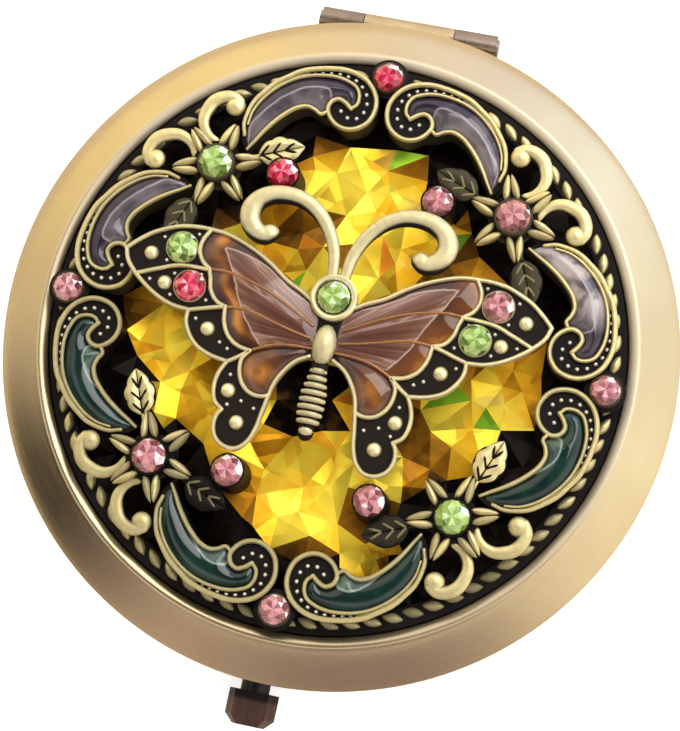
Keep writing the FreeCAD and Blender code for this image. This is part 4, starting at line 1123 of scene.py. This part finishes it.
def butterfly():
    half, veins, form, both = (Sculpt() for _ in range(4))
    half.plate(outline(WING_EDGE), WING_BOTTOM, WING_FLOOR, side_tone=0.25)
    for line in WING_WIRES:
        half.tube(smooth_line(line), WIRE_RADIUS, WING_TOP - 0.2, rise=1.4, under=0.4, front=0.4)
    for x, y in WING_BEADS:
        half.bead(x, y, WING_FLOOR, radius=0.75, rise=0.85)
    for x, y in WING_DOTS:
        half.bead(x, y, WING_FLOOR, radius=0.2, rise=1.3, tone=-0.8)
    for x, y in WING_STONES.values():
        stone_cup(half, WING_STONE, x, y, WING_FLOOR, wall=0.1, dark=0.6)
    half.tube(smooth_line(ANTENNA), ANTENNA_RADII, ANTENNA_LEVEL, rise=0.8, sides=28, tone=0.25, under=1.6,
              front=2.6, blunt=0.75)
    for x, y in WING_FEET:
        half.post(x, y, WING_FOOT_RADIUS, WING_BOTTOM, tone=0.8)
    form.place(half, TWINS)
    form.lathe(HEAD_PROFILE, *HEAD_AT, 48, HEAD_TONES)
    form.bead(0.0, -1.25, BODY_LEVEL + 0.1, radius=1.2, rise=0.95, tone=0.28, long=1.8)
    abdomen(form)
    form.move(BUTTERFLY_X)
    form.make("butterfly_casting", "lid", "antique_brass", PALE, ["butterfly"])
    levels = np.array((-0.16, -0.05, -0.05, -0.16)) + WING_TOP
    for line in WING_VEINS:
        veins.tube(smooth_line(line), (0.17, 0.15, 0.13), levels)
    both.place(veins, TWINS)
    both.move(BUTTERFLY_X)
    both.make("wing_veins", "lid", "brown_enamel", COPPER)


butterfly()


# Stones: table, star, kite and girdle facets
STONE_SIDES = 8


def stone(name, size, x, y, seed):
    rng = random.Random(seed)
    radius, girdle, table = size
    count = STONE_SIDES
    step = 360 / count
    spin = rng.uniform(0, step)
    slot = "peridot_stone" if name in PERIDOT else "ruby_stone" if name in RUBY else "rose_stone"

    def ring(share, z, shift, number=count):
        return raised(circle(x, y, radius * share, number, spin + 360 * shift / number), z)

    verts = np.vstack([ring(0.56, table, 0), ring(0.80, girdle + (table - girdle) * 0.62, 0.5),
                       ring(1.0, girdle, 0, 2 * count), ring(0.97, girdle - 0.25, 0, 2 * count),
                       (x, y, table)])
    # First points of the table, star, girdle and lower rings, and the middle of the table
    t, m, g, b, c = 0, count, 2 * count, 4 * count, 6 * count
    faces = []
    for k in range(count):
        n, p = (k + 1) % count, (k - 1) % count
        faces.append((c, t + k, t + n))
        faces.append((t + k, m + k, t + n))
        faces.append((t + k, m + p, g + 2 * k, m + k))
        faces.append((m + k, g + 2 * k, g + 2 * k + 1))
        faces.append((m + k, g + 2 * k + 1, g + 2 * n))
    for k in range(2 * count):
        n = (k + 1) % (2 * count)
        faces.append((g + k, b + k, b + n, g + n))
    piece = mesh_piece(name, verts * MM, faces, STONES[slot], "lid", ["stone_" + name])
    # Painted light and shade on the facets: darker outwards, light and dark in turn round the stone, and a
    # few at the back right flash as painted glints
    facet = []
    for polygon in piece.data.polygons:
        dx, dy = polygon.center.x / MM - x, polygon.center.y / MM - y
        out = hypot(dx, dy) / radius
        spoke = int((degrees(atan2(dy, dx)) - spin) // step) % 2
        lit = dx + dy > 0.5 * radius and rng.random() < 0.3
        facet.append(0.95 if lit else 0.68 - 0.38 * out + 0.34 * (spoke - 0.5) + rng.uniform(-0.12, 0.12))
    attach(piece.data, "facet", facet, "FACE")


def all_stones(first_seed=3):
    plan = [("flower_" + corner, FLOWER_STONE, way @ FLOWER_AT) for corner, way in zip(CORNERS, QUARTERS)]
    plan += [("border_" + side, BORDER_STONE, way @ BORDER_AT) for side, way in zip(SIDES, QUARTERS)]
    plan += [("accent_" + corner, ACCENT_STONE, place) for corner, place in ACCENTS.items()]
    for side, way in (("right", SAME), ("left", FLIP)):
        for place, at in WING_STONES.items():
            plan.append(("wing_" + place + "_" + side, WING_STONE, way @ at + (BUTTERFLY_X, 0)))
    plan.append(("head", HEAD_STONE, np.add(HEAD_AT, (BUTTERFLY_X, 0))))
    for seed, (name, size, at) in enumerate(plan, first_seed):
        stone(name, size, at[0], at[1], seed)


all_stones()

# Nodes that keep their own shape: finish, rounding of the edges, names
KEPT = (
    (SATIN, 0, "base_shell"),
    (INNER_SATIN, 0, "base_tray"),
    (INNER_SATIN, 0.1, "base_mirror_bezel lid_mirror_bezel"),
    (MIRROR, 0, "base_mirror_glass lid_mirror_glass"),
    (PAD, 0, "base_mirror_pad lid_mirror_pad"),
    (HINGE, 0.12, "hinge_knuckle_left hinge_knuckle_right"),
    (HINGE_GOLD, 0.12, "hinge_knuckle_lid"),
    (HINGE, 0, "button_bushing latch_guide"),
    (STEEL, 0, "hinge_pin latch_spring latch_hook lid_catch"),
    (DARK, 0.18, "button_cap"),
    (DARK, 0, "button_stem"),
)


def finish_kept():
    for finish, rounding, names in KEPT:
        for name in names.split():
            node = nodes[name]
            node.data.materials.clear()
            node.data.materials.append(finish)
            if rounding:
                bevel = node.modifiers.new("rounding", "BEVEL")
                bevel.width = rounding * MM
                bevel.segments = 3
                bevel.limit_method = "ANGLE"
                bevel.angle_limit = radians(35)


finish_kept()


# Floor, light and camera
def floor():
    reach = 1.5
    corners = [(-reach, -reach, 0), (reach, -reach, 0), (reach, reach, 0), (-reach, reach, 0)]
    mesh = bpy.data.meshes.new("floor")
    mesh.from_pydata(corners, [], [(0, 1, 2, 3)])
    ground = put("floor", mesh)
    ground.location.z = -0.02 * MM
    look = Look("floor_white")
    paths = look.node("LightPath").node
    white = look.mix(look.spread(look.noise(40.0)), (0.84, 0.84, 0.84), (0.86, 0.86, 0.86))
    look.set(Base_Color=look.mix(paths.outputs["Is Glossy Ray"], white, (0.68, 0.60, 0.50)),
             Roughness=0.9, Specular_IOR_Level=0.0, Emission_Color=(1.0, 1.0, 1.0),
             Emission_Strength=look.times(paths.outputs["Is Camera Ray"], 0.62))
    mesh.materials.append(look.material)


# Light round the tent by direction in degrees about the upright axis
TENT = [
    (-180, (0.70, 0.63, 0.53)), (-165, (0.07, 0.06, 0.055)), (-150, (0.01, 0.01, 0.01)),
    (-138, (0.22, 0.18, 0.18)), (-120, (0.56, 0.46, 0.46)), (-90, (0.33, 0.27, 0.29)),
    (-58, (0.35, 0.27, 0.30)), (-30, (1.08, 1.03, 0.92)), (0, (1.28, 1.29, 1.24)),
    (30, (1.12, 1.20, 1.28)), (60, (1.24, 1.43, 1.84)), (90, (1.02, 1.00, 1.18)),
    (120, (1.30, 1.17, 0.77)), (150, (1.12, 0.99, 0.64)), (180, (0.70, 0.63, 0.53))]
TENT_STRENGTH = 1.8
# Share of that strength that shows in reflections, so that mirrors and pale metal don't clip
TENT_IN_SHINE = 0.7
TENT_TOP = (1.05, 1.0, 0.96)


def key_lamp():
    """One soft panel above the back right, aimed at the part."""
    place, aim = Vector((0.14, 0.216, 0.486)), Vector((0, 0, 0.01))
    data = bpy.data.lights.new("key_panel", "AREA")
    data.shape = "RECTANGLE"
    data.size = data.size_y = 0.30
    data.energy = 1.1
    data.color = (1.0, 0.98, 0.95)
    panel = put("key_panel", data)
    panel.location = place
    panel.rotation_euler = (aim - place).to_track_quat("-Z", "Y").to_euler()


def studio():
    """A tent of light, bright at the back and right, dim at the front left, with a dark hole overhead."""
    world = bpy.data.worlds.new("studio")
    bpy.context.scene.world = world
    world.use_nodes = True
    look = Look.of(world.node_tree)
    x, y, z = look.node("SeparateXYZ", {0: look.node("TexCoord", out="Generated")}).node.outputs
    around = look.span(look.math("ARCTAN2", y, x), -pi, pi, 0.0, 1.0, "LINEAR")
    tint = look.ramp(around, *((0.5 + at / 360, colour) for at, colour in TENT))
    tint = look.mix(look.span(z, 0.68, 0.8), tint, TENT_TOP)
    wall = look.times(look.span(z, -0.25, 0.05, 0.5, 1.0), look.span(z, 0.82, 0.96, 1.0, 0.1))
    shine = look.node("LightPath", out="Is Glossy Ray")
    level = look.span(shine, 0.0, 1.0, TENT_STRENGTH, TENT_STRENGTH * TENT_IN_SHINE, "LINEAR")
    back = world.node_tree.nodes["Background"]
    look.feed(back.inputs["Color"], tint)
    look.feed(back.inputs["Strength"], look.times(wall, level))


# Turn of the part in degrees, and its middle in millimetres, both as the camera sees them
SEEN_TURN = ((-10.098, "X"), (-4.814, "Y"), (-11.996, "Z"))
SEEN_AT = (-0.321, 1.854, -205.987)
PART_MIDDLE = 7.2
# Height and focal length of the photo in pixels
PHOTO_HEIGHT = 731
PHOTO_FOCAL = 2000


def camera():
    about_x, about_y, about_z = (Matrix.Rotation(radians(turned), 3, axis)
                                 for turned, axis in SEEN_TURN)
    back = (about_x @ about_y @ about_z).transposed()
    data = bpy.data.cameras.new("camera")
    data.sensor_fit = "VERTICAL"
    data.sensor_height = 36.0
    data.lens = PHOTO_FOCAL / PHOTO_HEIGHT * data.sensor_height
    data.clip_start = 0.01
    eye = put("camera", data)
    place = Vector((0, 0, PART_MIDDLE * MM)) - back @ (Vector(SEEN_AT) * MM)
    eye.matrix_world = Matrix.Translation(place) @ back.to_4x4()
    bpy.context.scene.camera = eye


floor()
studio()
key_lamp()
camera()
bpy.context.scene.view_settings.view_transform = "Standard"
